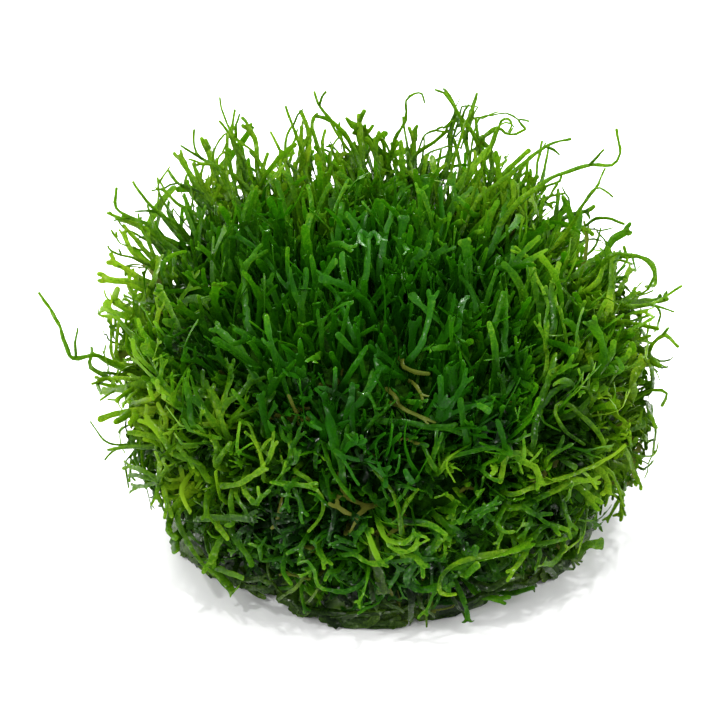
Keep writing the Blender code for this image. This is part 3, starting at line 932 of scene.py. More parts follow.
def rootedIn(points):
    # A ribbon grows out of the tangle, so its run starts a little inside it
    inward = (up * cushionForm["waistHeight"] - points[0]).normalized()
    onward = (points[1] - points[0]).normalized()
    return [points[0] + inward * placedLook["rootIn"] - onward * placedLook["rootBack"]] + points


def nearestSeen(route, pixel):
    # The point of a route that is seen nearest to this place in the picture
    across, rise = fromPixel(pixel)

    def away(point):
        seenAcross, seenRise, depth = pictured(point)
        return math.hypot(seenAcross - across, seenRise - rise)
    return min(route, key=away)


def seenRibbons(bunch, seen, dice, ribbons, form):
    # Each entry holds a width, a tone, and runs of pixels; later runs fork from the first
    rootLift, tipLift = form["root"], form["tip"]
    for width, tone, *runs in ribbons.values():
        stem = None
        for run in runs:
            last = len(run) - 1
            if stem is None:
                width *= form.get("scale", 1.0)
                points = [lyingPoint(*fromPixel(pixel), rootLift + (tipLift - rootLift) * index / last)
                          for index, pixel in enumerate(run)]
                seen.mark(points)
                age = max(form["age"], warmthAt(points[0]))
                stem = placeRibbon(bunch, dice, rootedIn(points), width, tone, age, form)
                continue
            start = nearestSeen(stem, run[0])
            low = min(standOff(start), tipLift)
            points = [start] + [lyingPoint(*fromPixel(pixel), low + (tipLift - low) * (index + 1) / last)
                                for index, pixel in enumerate(run[1:])]
            seen.mark(points)
            placeRibbon(bunch, dice, points, width * placedLook["forkWidth"], tone, age, form)


# Ribbons seen one by one in the photo, each with its width, its tone from dark to pale,
# and the pixels that it passes from root to tip. Further runs are its forks.
crownSeen = {
    "bent strap": (1.15, 0.55, ((249, 329), (245, 300), (244, 277), (246, 266), (256, 254))),
    "left arm": (1.0, 0.35, ((280, 280), (261, 253), (237, 236))),
    "left arch": (0.8, 0.5, ((257, 242), (240, 227), (229, 228))),
    "short upright": (1.1, 0.45, ((281, 242), (286, 231), (289, 224))),
    "pale thread": (0.65, 0.85, ((333, 237), (335, 208), (347, 185))),
    "tall strap": (1.2, 0.65, ((380, 268), (385, 237), (394, 207))),
    "arch stem": (1.1, 0.6, ((362, 291), (367, 268), (368, 236)), ((367, 238), (361, 232), (359, 243)),
                  ((368, 238), (374, 232), (379, 240))),
    "small hook": (0.8, 0.6, ((390, 244), (399, 240), (408, 250))),
    "pale bar": (1.1, 0.8, ((329, 248), (338, 244), (351, 249))),
    "curved left": (1.0, 0.6, ((353, 337), (342, 308), (333, 291), (325, 284))),
    "bent left": (1.0, 0.5, ((373, 317), (367, 302), (353, 292))),
    "thin slant": (0.9, 0.5, ((400, 277), (411, 254))),
    "mid strap": (1.1, 0.55, ((423, 292), (425, 263))),
    "big curved": (1.2, 0.75, ((409, 360), (420, 345), (430, 317), (432, 297))),
    "thick slant": (1.2, 0.8, ((263, 387), (251, 370), (242, 351), (216, 328))),
    "thin bright": (0.55, 1.0, ((305, 355), (294, 346), (273, 338), (259, 328))),
    "plain upright": (1.0, 0.45, ((290, 335), (288, 312))),
    "leaning pair": (1.1, 0.65, ((296, 340), (303, 325))),
    "dark upright": (1.0, 0.4, ((322, 350), (322, 320))),
    "thin pale": (0.6, 0.85, ((299, 308), (304, 294))),
    "back upright": (1.1, 0.45, ((442, 222), (441, 205), (441, 187))),
    "back bend": (1.0, 0.5, ((483, 216), (472, 214), (458, 197))),
    "back strap": (1.4, 0.6, ((481, 214), (476, 201), (473, 182))),
    "back right": (1.2, 0.6, ((492, 248), (500, 230), (506, 206), (509, 188))),
    "wet slant": (1.0, 0.8, ((450, 228), (462, 220))),
    "pale slant": (1.0, 0.75, ((470, 237), (483, 230))),
    "wide slant": (1.3, 0.7, ((424, 246), (438, 239))),
    "open loop": (1.0, 0.5, ((498, 256), (498, 266), (506, 270), (512, 262), (513, 246))),
    "thin long": (0.6, 0.95, ((547, 350), (545, 326), (548, 308), (546, 299), (542, 288), (536, 276),
                              (530, 260), (519, 252))),
    "pale forked": (0.7, 0.95, ((544, 377), (547, 353), (545, 350), (544, 338), (538, 325)),
                    ((547, 344), (547, 330))),
    "right upright": (1.2, 0.55, ((553, 331), (551, 292), (555, 277), (559, 262))),
    "inner curve": (0.9, 0.5, ((475, 317), (475, 305), (469, 288), (460, 276))),
    "inner right": (1.2, 0.55, ((490, 338), (499, 311), (504, 292))),
    "inner plain": (1.1, 0.45, ((504, 350), (506, 292))),
    "inner left": (0.9, 0.6, ((466, 335), (463, 323), (460, 308))),
    "inner short": (0.8, 0.55, ((437, 292), (437, 276))),
    "rim upright": (0.9, 0.5, ((481, 350), (480, 332))),
    "rim right": (0.75, 0.8, ((565, 350), (565, 335), (559, 308))),
    "crossing thin": (0.8, 0.6, ((520, 303), (530, 276))),
    "right strap": (1.3, 0.5, ((573, 277), (591, 262), (605, 251), (613, 239), (628, 231))),
    "right bright": (1.1, 0.9, ((584, 292), (597, 282), (605, 260))),
    "right pale": (1.0, 0.9, ((610, 308), (614, 260))),
    "right outer": (1.0, 0.9, ((614, 300), (619, 292), (631, 268))),
    "rim short": (1.1, 0.5, ((338, 367), (331, 352))),
    "rim bend": (1.3, 0.55, ((360, 352), (352, 350), (337, 334))),
    "rim thin": (0.7, 0.75, ((358, 337), (374, 328))),
    "rim pale": (1.2, 0.8, ((320, 355), (312, 361))),
    "big diagonal": (1.1, 0.45, ((335, 420), (343, 415), (360, 403), (374, 381), (380, 367))),
    "rim cross": (1.1, 0.55, ((401, 378), (381, 367))),
    "rim hook": (0.9, 0.5, ((308, 386), (311, 395), (303, 400))),
    "rim pale bar": (0.6, 0.9, ((420, 351), (430, 348))),
    "falling": (1.0, 0.5, ((502, 330), (508, 362), (517, 375), (525, 385), (530, 386))),
    "right falling": (1.2, 0.45, ((589, 332), (589, 355), (596, 381), (594, 391))),
}

shoulderSeen = {
    "edge up": (0.9, 0.85, ((141, 259), (132, 253), (127, 241), (123, 232))),
    "edge out": (1.2, 0.85, ((138, 277), (122, 267), (111, 260))),
    "edge low": (1.4, 0.6, ((132, 282), (115, 281), (103, 278))),
    "pale thin": (0.7, 0.9, ((113, 358), (111, 320), (110, 305))),
    "pale beside": (0.8, 0.9, ((117, 358), (119, 320))),
    "pale upright": (1.0, 0.85, ((129, 352), (128, 324))),
    "broad strap": (1.6, 0.55, ((179, 262), (161, 251), (150, 234))),
    "long curve": (1.2, 0.8, ((141, 318), (146, 295), (154, 279), (159, 259))),
    "wet short": (1.2, 0.75, ((165, 287), (174, 274))),
    "broad bend": (1.3, 0.75, ((182, 332), (177, 327), (169, 307), (159, 292))),
    "lime short": (0.9, 0.95, ((158, 330), (159, 309))),
    "thin slant": (0.6, 0.95, ((187, 321), (202, 309))),
    "pale stub": (1.0, 0.8, ((229, 369), (219, 358))),
    "flat edge": (1.5, 0.8, ((148, 382), (125, 388), (103, 391))),
}

leftSeen = {
    "pale hook": (0.9, 0.65, ((141, 429), (131, 415), (133, 403), (145, 401), (154, 397), (168, 380))),
    "long diagonal": (1.2, 0.7, ((208, 479), (202, 468), (189, 459), (171, 451), (161, 435), (146, 420))),
    "thin up": (0.8, 0.85, ((148, 419), (147, 405))),
    "bent up": (1.0, 0.55, ((166, 434), (166, 420), (157, 402))),
    "antler": (1.2, 0.55, ((222, 424), (222, 411), (225, 392), (231, 377), (231, 365)),
               ((220, 414), (211, 402), (203, 385), (203, 370)), ((223, 413), (218, 402), (211, 391)),
               ((225, 414), (229, 401), (240, 394), (252, 380)), ((228, 421), (239, 411), (245, 399)),
               ((228, 422), (243, 415), (258, 408))),
    "antler side": (1.0, 0.55, ((203, 392), (199, 382), (194, 373))),
    "low arm": (1.0, 0.5, ((240, 420), (253, 425))),
    "bright arm": (1.0, 0.95, ((225, 426), (215, 422), (202, 425))),
    "upright arm": (1.1, 0.55, ((264, 431), (264, 411), (270, 398))),
    "forked stem": (1.2, 0.8, ((217, 466), (217, 449), (211, 436)), ((217, 464), (221, 456), (231, 442))),
    "stem below": (0.9, 0.85, ((225, 502), (219, 491), (217, 482), (216, 471))),
    "wet across": (1.0, 0.75, ((219, 485), (238, 484), (253, 475), (264, 468))),
    "wet down": (1.0, 0.9, ((243, 484), (250, 498), (257, 503), (261, 495))),
    "low hook": (0.9, 0.85, ((231, 495), (233, 513), (233, 524), (225, 526))),
    "thin hook": (0.7, 0.85, ((236, 495), (244, 509), (249, 518), (256, 516))),
    "low plain": (0.9, 0.5, ((208, 495), (206, 517))),
    "wet tip": (1.1, 1.0, ((216, 521), (222, 531), (228, 539))),
    "left falling": (1.0, 0.75, ((182, 486), (184, 500), (191, 513))),
    "dark bar": (1.3, 0.35, ((197, 518), (215, 518), (253, 518))),
    "star": (1.0, 0.7, ((168, 487), (164, 484), (160, 481), (160, 462)), ((160, 481), (164, 473), (168, 466)),
             ((160, 480), (144, 471), (127, 466)), ((158, 480), (143, 477), (127, 475)),
             ((158, 482), (145, 486), (133, 487)), ((160, 483), (157, 490), (156, 498)),
             ((164, 484), (166, 497), (168, 510))),
    "out left": (1.1, 0.6, ((161, 439), (142, 434), (127, 433))),
    "out beside": (0.9, 0.8, ((161, 446), (152, 442), (143, 439))),
    "foot strap": (1.5, 0.8, ((212, 564), (229, 586), (233, 592))),
    "foot beside": (1.2, 0.8, ((215, 566), (230, 573), (244, 578))),
    "foot above": (1.2, 0.6, ((223, 537), (215, 550), (212, 564))),
    "foot inner": (1.1, 0.6, ((231, 532), (249, 557), (252, 567))),
}

frontSeen = {
    "left slant": (1.1, 0.55, ((227, 437), (222, 421), (213, 400), (210, 389))),
    "left upright": (0.9, 0.55, ((263, 432), (265, 409), (268, 398))),
    "pair of antlers": (1.0, 0.6, ((289, 466), (291, 449), (289, 426)), ((289, 444), (283, 437), (280, 426)),
                        ((290, 448), (295, 442), (299, 434)), ((289, 464), (295, 462), (297, 452))),
    "short lean": (0.9, 0.55, ((265, 464), (270, 458), (274, 443))),
    "big arch": (1.0, 0.5, ((315, 466), (317, 446), (323, 443), (328, 460), (334, 475), (355, 502))),
    "three tips": (1.2, 0.6, ((343, 484), (341, 466), (337, 453), (330, 441)), ((338, 452), (338, 432)),
                   ((339, 456), (344, 446), (348, 435))),
    "bright thin": (0.7, 1.0, ((329, 429), (323, 418), (320, 409))),
    "wet bar": (1.0, 0.9, ((312, 408), (322, 404))),
    "pale across": (1.1, 0.7, ((358, 423), (375, 421), (397, 422), (430, 426), (453, 428))),
    "long slant": (0.9, 0.6, ((332, 426), (343, 417), (358, 403), (372, 381))),
    "wet across": (0.9, 0.8, ((277, 482), (296, 484), (312, 486))),
    "fine slant": (0.5, 0.7, ((263, 498), (276, 482), (285, 470))),
    "falling": (0.9, 0.75, ((294, 487), (300, 502), (302, 513))),
    "falling far": (1.0, 0.45, ((323, 487), (332, 502), (334, 518), (328, 541))),
    "low fork": (0.9, 0.6, ((307, 520), (295, 528), (281, 531)), ((295, 528), (288, 532), (283, 538))),
    "low slant": (0.9, 0.55, ((307, 537), (298, 550))),
    "bright low": (1.1, 0.9, ((318, 547), (325, 563))),
    "winding": (0.9, 0.75, ((362, 583), (344, 592), (330, 590), (318, 586), (313, 569), (307, 561),
                            (298, 564))),
    "low arc": (0.9, 0.7, ((338, 570), (329, 572), (325, 581))),
    "bright group": (1.05, 1.0, ((381, 529), (388, 540), (404, 543), (414, 534)),
                     ((390, 542), (394, 549), (407, 552), (419, 543))),
    "bright beside": (1.0, 0.95, ((396, 552), (414, 557), (425, 567))),
    "bright upright": (0.9, 0.9, ((365, 524), (370, 537), (379, 561))),
    "long low": (0.9, 0.9, ((341, 555), (353, 554), (368, 563), (384, 563))),
    "short low": (0.9, 0.8, ((359, 546), (349, 542), (339, 540))),
    "low left curl": (0.9, 0.7, ((284, 557), (283, 572), (292, 584)), ((284, 556), (266, 561), (261, 558),
                                                                    (260, 546))),
    "broad arc": (1.5, 0.35, ((440, 540), (414, 566), (407, 580), (422, 590), (440, 586))),
    "three prongs": (1.0, 0.35, ((441, 448), (440, 430), (431, 415)), ((440, 430), (438, 415)),
                     ((440, 430), (446, 422), (454, 417))),
    "middle fork": (1.0, 0.5, ((437, 470), (431, 463), (423, 446)), ((436, 461), (438, 440))),
    "green long": (0.75, 0.65, ((440, 472), (450, 458), (473, 452), (498, 447))),
    "yellow wavy": (0.55, 0.9, ((467, 432), (470, 444), (452, 455), (447, 466), (455, 482))),
    "star right": (1.1, 0.45, ((405, 520), (421, 522), (435, 527), (446, 535))),
    "lobe upper": (1.0, 0.85, ((400, 543), (409, 542), (415, 533))),
    "right dim": (0.9, 0.5, ((454, 522), (473, 513), (496, 502))),
    "low right": (1.0, 0.7, ((478, 594), (490, 598), (503, 600))),
    "low tip": (0.9, 0.7, ((462, 598), (466, 609), (468, 620))),
    "low dark": (0.9, 0.3, ((504, 593), (534, 587))),
}

rightSeen = {
    "antler": (1.3, 0.65, ((531, 447), (535, 429), (541, 407), (543, 394), (547, 384), (551, 373),
                           (562, 366)),
               ((551, 373), (553, 362), (556, 354)), ((541, 407), (553, 392), (571, 383))),
    "upper long": (0.8, 0.6, ((450, 403), (472, 404), (495, 395), (505, 394), (513, 381)),
                   ((500, 394), (502, 388), (500, 380))),
    "pale short": (1.1, 0.75, ((405, 401), (421, 404))),
    "dim curl": (0.9, 0.45, ((539, 412), (546, 424), (561, 431))),
    "outer slant": (1.0, 0.6, ((564, 418), (576, 412), (594, 396), (605, 385))),
    "outer short": (1.0, 0.7, ((612, 390), (624, 389))),
    "edge broad": (1.6, 0.85, ((633, 396), (633, 381), (638, 368), (645, 361))),
    "bright hook": (1.1, 0.85, ((529, 452), (513, 454), (505, 460), (500, 483))),
    "bright arm": (1.1, 0.75, ((505, 456), (514, 456), (532, 465), (537, 470), (541, 483))),
    "pale slant": (1.0, 0.9, ((543, 468), (547, 460), (561, 448))),
    "dim bend": (1.1, 0.5, ((569, 455), (560, 458), (576, 468))),
    "second long": (1.1, 0.85, ((510, 509), (532, 502), (556, 490), (571, 480), (584, 480)),
                    ((554, 492), (576, 482), (596, 480)), ((520, 508), (530, 512), (541, 517))),
    "second curl": (1.0, 0.85, ((504, 508), (496, 522), (504, 532), (514, 531))),
    "beside curl": (0.9, 0.7, ((535, 523), (521, 525))),
    "small arc": (1.1, 0.85, ((528, 539), (541, 527), (550, 525), (557, 529))),
    "bottom strap": (1.6, 0.75, ((454, 566), (476, 559), (504, 553), (529, 543)),
                     ((459, 563), (472, 556), (477, 545)), ((458, 566), (464, 574), (468, 572), (479, 564))),
    "low stub": (0.9, 0.8, ((527, 550), (511, 572))),
    "low curl": (1.0, 0.7, ((538, 548), (539, 559), (535, 570))),
    "low beside": (1.0, 0.7, ((563, 546), (555, 562), (543, 564))),
    "low across": (1.0, 0.7, ((536, 543), (566, 539))),
    "broad leaf": (1.6, 0.55, ((571, 557), (588, 545), (602, 543))),
    "edge falling": (1.2, 0.75, ((599, 469), (608, 483), (608, 492))),
    "edge beside": (1.0, 0.7, ((607, 469), (615, 480), (621, 494))),
    "edge outer": (1.1, 0.7, ((626, 451), (634, 473), (638, 483))),
    "wet short": (1.2, 0.5, ((581, 488), (594, 501))),
    "low long": (1.0, 0.6, ((561, 493), (565, 508), (571, 526)), ((563, 500), (569, 496), (571, 489))),
}

oldSeen = {
    "rim tan": (0.8, 0.6, ((402, 360), (404, 367), (416, 373), (430, 373))),
    "rim yellow": (0.8, 0.9, ((584, 262), (587, 228))),
    "olive long": (0.6, 0.6, ((400, 407), (414, 414), (427, 420))),
    "olive broad": (0.8, 0.6, ((394, 396), (404, 409), (430, 419))),
    "olive short": (0.6, 0.5, ((415, 385), (423, 397))),
}

# Ribbons whose tips make the outline of the crown and of the sides
leftEdgeSeen = {
    "low fan": (0.75, 0.8, ((150, 233), (131, 222), (117, 218), (107, 213)), ((113, 218), (109, 212))),
    "low arch": (0.4, 0.4, ((132, 232), (123, 228), (117, 220))),
    "low broad": (1.0, 0.8, ((148, 254), (140, 243), (131, 234), (123, 225))),
    "long sweep": (0.4, 0.5, ((145, 251), (130, 247), (121, 244), (116, 237))),
    "low sweep": (0.5, 0.4, ((138, 260), (121, 255), (111, 250), (108, 245)), ((121, 255), (119, 249))),
    "band stub": (0.6, 0.7, ((143, 228), (139, 215))),
    "band": (1.3, 0.7, ((172, 244), (152, 234), (137, 225), (124, 219))),
    "branch": (0.8, 0.7, ((160, 236), (153, 222), (147, 205))),
    "high upright": (0.5, 0.6, ((161, 216), (158, 204), (159, 190), (158, 177))),
    "high lean": (0.5, 0.75, ((159, 192), (161, 180), (170, 166))),
    "dark cross": (0.45, 0.35, ((178, 183), (165, 188), (152, 191))),
    "upper slant": (0.7, 0.6, ((190, 190), (176, 181), (168, 170))),
    "lower slant": (0.7, 0.7, ((192, 212), (176, 202), (163, 189))),
    "dark thread": (0.3, 0.3, ((182, 220), (173, 208), (168, 200), (160, 199))),
    "pale thread": (0.45, 0.9, ((178, 225), (172, 215), (173, 209))),
    "broad slant": (1.2, 0.75, ((184, 236), (168, 221), (159, 211))),
    "broad high": (1.2, 0.75, ((203, 196), (190, 175), (184, 163), (179, 156))),
    "beside high": (1.1, 0.7, ((206, 192), (197, 173), (194, 162))),
    "short high": (0.6, 0.6, ((188, 188), (185, 182), (186, 174))),
    "cross high": (0.7, 0.8, ((230, 172), (215, 165), (198, 163))),
    "lobed": (1.2, 0.8, ((214, 172), (208, 150), (201, 138)), ((208, 150), (206, 139))),
    "short drop": (0.6, 0.6, ((200, 186), (203, 164))),
    "arc": (0.7, 0.65, ((213, 158), (219, 140), (228, 132))),
    "tall": (1.0, 0.7, ((228, 186), (226, 160), (227, 133))),
    "tall beside": (1.0, 0.7, ((241, 182), (238, 158), (233, 138))),
    "dark tall": (0.9, 0.4, ((245, 176), (241, 158), (239, 147))),
    "pale slant": (0.4, 0.9, ((209, 188), (216, 162), (223, 152))),
    "thick tip": (0.7, 0.8, ((232, 138), (233, 122), (235, 110))),
    "left stub": (0.6, 0.75, ((228, 133), (224, 127), (219, 121))),
    "outer upright": (0.35, 0.6, ((248, 174), (246, 163), (242, 155))),
    "upper curl": (0.35, 0.6, ((113, 302), (105, 296), (103, 289))),
    "lower curl": (0.35, 0.6, ((113, 342), (107, 337), (103, 331))),
    "wedge": (1.4, 0.85, ((127, 309), (115, 299), (119, 287))),
    "low thin": (0.5, 0.4, ((122, 376), (108, 373), (101, 372))),
    "low flat": (0.8, 0.65, ((134, 379), (112, 378), (98, 379)), ((101, 380), (97, 384), (101, 394))),
    "pale stub": (0.8, 0.85, ((136, 388), (124, 394), (116, 401))),
    "short stub": (0.6, 0.7, ((140, 390), (133, 394), (126, 401))),
    "flat leaf": (1.3, 0.8, ((142, 411), (116, 414), (98, 420)), ((130, 417), (121, 419), (114, 423)),
                  ((138, 414), (134, 418), (129, 424))),
    "hook root": (1.0, 0.55, ((150, 446), (128, 447), (108, 450))),
    "wisp bar": (0.8, 0.65, ((91, 367), (91, 356), (92, 347))),
    "wisp root": (0.5, 0.6, ((116, 368), (100, 358), (93, 352))),
    "film edge": (1.3, 0.35, ((176, 505), (170, 520), (169, 530), (177, 539))),
    "film low": (1.6, 0.3, ((178, 536), (175, 545), (176, 552))),
}

topEdgeSeen = {
    "bent spike": (1.0, 0.7, ((259, 176), (257, 152), (255, 138), (246, 126))),
    "slim spike": (0.6, 0.75, ((285, 164), (278, 147), (270, 132))),
    "branch": (0.6, 0.5, ((288, 168), (285, 150), (287, 135), (294, 124))),
    "dark bit": (0.4, 0.35, ((285, 159), (276, 156))),
    "spike": (1.0, 0.7, ((305, 172), (309, 145), (307, 128), (301, 110))),
    "ring": (0.9, 0.6, ((321, 160), (315, 138), (311, 128), (313, 118), (318, 113)),
             ((316, 115), (325, 118), (333, 123))),
    "ring left": (0.7, 0.6, ((295, 170), (303, 148), (308, 134))),
    "upright spike": (0.8, 0.65, ((324, 165), (322, 143), (325, 129))),
    "fork beside": (0.6, 0.6, ((355, 162), (344, 143), (335, 130), (330, 122))),
    "thin fork": (0.5, 0.6, ((335, 182), (331, 160), (333, 146), (340, 136))),
    "broad stem": (1.3, 0.75, ((362, 165), (361, 135), (359, 114)), ((360, 130), (353, 125), (346, 117)),
                   ((360, 122), (364, 110))),
    "blunt": (0.8, 0.7, ((353, 176), (347, 164), (339, 158))),
    "round shoulder": (1.0, 0.65, ((378, 162), (372, 145), (366, 137))),
    "right spike": (0.8, 0.7, ((376, 158), (377, 142), (380, 132))),
    "hook leg": (0.55, 0.6, ((408, 154), (405, 135), (403, 117))),
    "lobed stem": (1.1, 0.75, ((414, 168), (413, 142), (409, 127)), ((414, 144), (415, 131), (418, 126))),
    "bow": (0.45, 0.4, ((418, 150), (423, 137), (430, 131), (438, 129))),
    "bow drop": (0.4, 0.6, ((423, 154), (424, 134))),
    "spray stem": (0.9, 0.6, ((418, 152), (436, 141), (447, 130))),
    "spray left": (0.9, 0.55, ((450, 148), (451, 128), (457, 112), (446, 92))),
    "spray right": (0.9, 0.6, ((470, 164), (464, 136), (461, 118)), ((465, 138), (470, 120), (477, 93))),
    "spray thread": (0.3, 0.3, ((456, 108), (460, 98))),
    "spray arch": (0.35, 0.4, ((461, 112), (463, 106), (471, 106), (478, 107))),
    "spray drop": (0.35, 0.5, ((472, 119), (475, 112), (478, 107))),
    "low left arm": (0.6, 0.4, ((456, 116), (450, 122), (443, 128))),
    "spray elbow": (0.9, 0.5, ((492, 156), (486, 146), (475, 135), (468, 125), (471, 110))),
    "spray strut": (0.7, 0.55, ((478, 140), (476, 118))),
    "spray brace": (0.7, 0.45, ((426, 156), (436, 150), (450, 145))),
    "spray foot": (0.6, 0.65, ((437, 178), (439, 164), (442, 148))),
    "spray middle": (0.7, 0.6, ((461, 170), (457, 152), (453, 138))),
    "spray pale": (0.35, 0.9, ((449, 166), (456, 151))),
    "wavy root": (0.45, 0.5, ((474, 118), (483, 118), (490, 114), (499, 111))),
    "curl stem": (0.6, 0.6, ((499, 182), (492, 168), (489, 156), (490, 144), (496, 130))),
    "curl tail": (0.7, 0.65, ((497, 128), (505, 133), (516, 134), (526, 129))),
    "curl ring": (0.5, 0.6, ((498, 130), (501, 121), (508, 119), (512, 125), (508, 132))),
    "right slant": (1.1, 0.7, ((496, 186), (510, 168), (530, 149))),
    "slant beside": (0.7, 0.6, ((520, 172), (530, 158), (541, 149))),
    "small drop": (0.5, 0.5, ((479, 148), (482, 157), (486, 163))),
    "low prong": (0.6, 0.5, ((519, 178), (528, 171))),
}

rightEdgeSeen = {
    "prong": (0.8, 0.7, ((534, 186), (537, 162), (541, 148))),
    "prong beside": (0.7, 0.65, ((541, 182), (546, 160), (549, 146))),
    "hook riser": (0.5, 0.7, ((595, 190), (600, 179), (605, 168))),
    "bridge": (0.6, 0.6, ((537, 192), (550, 184), (560, 181), (562, 172))),
    "strut": (0.9, 0.6, ((554, 228), (557, 206), (558, 188))),
    "thin strut": (0.4, 0.5, ((570, 206), (566, 194), (562, 186))),
    "short bar": (0.7, 0.7, ((540, 206), (552, 193))),
    "knob": (1.4, 0.45, ((560, 216), (566, 203))),
    "hand": (0.8, 0.6, ((572, 214), (586, 212), (594, 206)), ((585, 213), (590, 219))),
    "far loop": (0.7, 0.55, ((580, 230), (592, 221), (600, 219), (612, 219), (625, 224))),
    "loop brace": (0.4, 0.45, ((588, 228), (600, 231), (613, 227))),
    "loop post": (0.45, 0.5, ((592, 250), (599, 235), (601, 228))),
    "loop cross": (0.35, 0.4, ((606, 245), (599, 234), (594, 227))),
    "loop low": (0.35, 0.4, ((589, 239), (598, 240), (607, 245))),
    "arch under": (0.6, 0.6, ((606, 262), (620, 260), (633, 264))),
    "arch corner": (0.8, 0.6, ((610, 259), (632, 256), (648, 260), (654, 269), (655, 284), (645, 287))),
    "post": (1.3, 0.7, ((607, 314), (611, 288), (613, 258))),
    "upper line": (0.5, 0.6, ((620, 282), (630, 292), (638, 294), (647, 290))),
    "lower line": (0.45, 0.5, ((628, 298), (640, 296), (653, 290))),
    "reach broad": (1.2, 0.45, ((606, 306), (630, 303), (652, 301), (668, 299)), ((657, 301), (660, 294)),
                    ((665, 300), (667, 291))),
    "reach under": (0.8, 0.4, ((612, 302), (630, 307), (650, 304))),
    "hanging arc": (0.5, 0.55, ((648, 306), (657, 307), (661, 315), (659, 324), (655, 331))),
    "wet wedge": (1.0, 0.65, ((618, 322), (640, 325), (659, 329))),
    "inner ring": (0.5, 0.6, ((638, 329), (645, 335), (648, 344), (646, 357))),
    "knee leg": (0.8, 0.6, ((637, 364), (650, 348), (658, 339), (667, 334)),
                 ((665, 335), (672, 340), (679, 347))),
    "small hook": (0.45, 0.55, ((650, 357), (660, 361), (669, 361), (674, 356))),
    "small prong": (0.45, 0.45, ((651, 363), (660, 367), (668, 367))),
    "dark web": (1.2, 0.3, ((640, 350), (651, 359), (661, 366))),
    "dark edge": (0.9, 0.35, ((648, 392), (653, 378), (650, 366))),
    "low edge": (1.0, 0.45, ((645, 402), (650, 414), (656, 429))),
    "tip down": (0.45, 0.45, ((619, 498), (623, 507), (625, 516))),
    "edge hook": (0.45, 0.5, ((636, 466), (643, 470), (649, 466), (653, 460))),
    "edge stub": (0.6, 0.5, ((628, 478), (634, 482), (638, 484))),
}

# Dark ribbons that lie flat on the wet foot
footSeen = {
    "small ring": (0.5, 0.5, ((318, 588), (310, 600), (300, 608), (298, 614), (303, 617), (309, 612))),
    "dark strap": (1.7, 0.35, ((375, 560), (379, 574), (383, 592))),
    "strap beside": (0.9, 0.3, ((372, 593), (375, 604), (382, 615))),
    "short strap": (1.2, 0.3, ((411, 600), (411, 612), (412, 621))),
    "thin tail": (0.5, 0.6, ((430, 606), (426, 615), (426, 627))),
    "far tail": (0.6, 0.3, ((455, 604), (463, 612), (467, 621))),
    "left strand": (0.6, 0.6, ((268, 570), (278, 590), (285, 594))),
    "left slant": (0.6, 0.8, ((298, 586), (288, 592), (278, 600))),
    "left strap": (1.0, 0.3, ((235, 577), (250, 580), (264, 578))),
    "brown end": (1.0, 0.3, ((268, 589), (244, 588))),
    "long fold": (0.8, 0.45, ((318, 614), (335, 616), (360, 612), (384, 610))),
    "short fold": (0.6, 0.4, ((385, 603), (398, 607), (404, 612))),
    "right curl": (0.6, 0.6, ((420, 604), (428, 612), (436, 617))),
    "right fold": (1.2, 0.2, ((488, 588), (505, 580), (520, 576))),
    "right long": (1.2, 0.2, ((468, 602), (488, 592), (512, 586), (534, 587))),
    "loop": (0.6, 0.4, ((560, 566), (570, 569), (574, 568), (572, 560), (577, 562))),
    "knuckle": (1.2, 0.25, ((545, 566), (552, 572), (556, 578))),
}


# The crown: upright ribbons that lean out more towards the rim

crownLook = {
    "rootHeight": 34.0,
    "rootIn": 3.0,
    "rootDrop": 7.0,
    "forkAngle": (14, 32),
    "opening": (-0.7, 0.2, 0.6),
    "forkLength": (2.4, 6.0),
    "tipLength": (0.6, 1.9),
    "tipFork": 0.35,
    "curl": 0.03,
    "sway": 0.02,
    "wander": 0.018,
    "twist": 0.07,
    "taper": 0.25,
    "flare": 0.45,
    "rimLean": 47.0,
    "leanPower": 2.2,
    "backUpright": 0.45,
    "backRise": 1.6,
    "edgeDrop": 7.0,
    "backDrop": 0.6,
    "leastRise": 0.55,
    "looseLean": 9.0,
    "stems": (1.0, 0.72, 0.5),
    "stemVary": (0.9, 1.1),
    "lift": (-0.01, 0.04),
    "faceOut": 0.4,
    "oldShare": 0.006,
    "paleRim": 0.5,
    "dimFront": 0.7,
    "paleSide": 0.35,
    "paleBack": 0.3,
    "warmBack": 0.5,
    "inset": 0.4,
    "floor": 4.0,
    "depthShadeShare": 0.6,
}

# Layers of the crown: how many, from where to where out, tip heights, base widths, forks, tones
crownLayers = {
    "long": {"count": 620, "spread": (0.0, 37.5), "tips": (43.0, 52.0), "width": (1.05, 1.6),
             "forks": (0, 0, 1, 1), "tone": (0.12, 0.4), "step": 1.2, "lean": 0.0, "sides": 4},
    "short": {"count": 760, "spread": (0.0, 38.0), "tips": (38.0, 45.0), "width": (1.0, 1.4),
              "forks": (0, 0, 1, 1), "tone": (0.08, 0.34), "step": 1.7, "lean": 0.0, "sides": 4},
    "rim": {"count": 420, "spread": (32.0, 38.5), "tips": (42.0, 48.0), "width": (0.75, 1.35),
            "forks": (0, 1, 1), "tone": (0.1, 0.6), "step": 1.2, "lean": 9.0, "sides": 4},
}


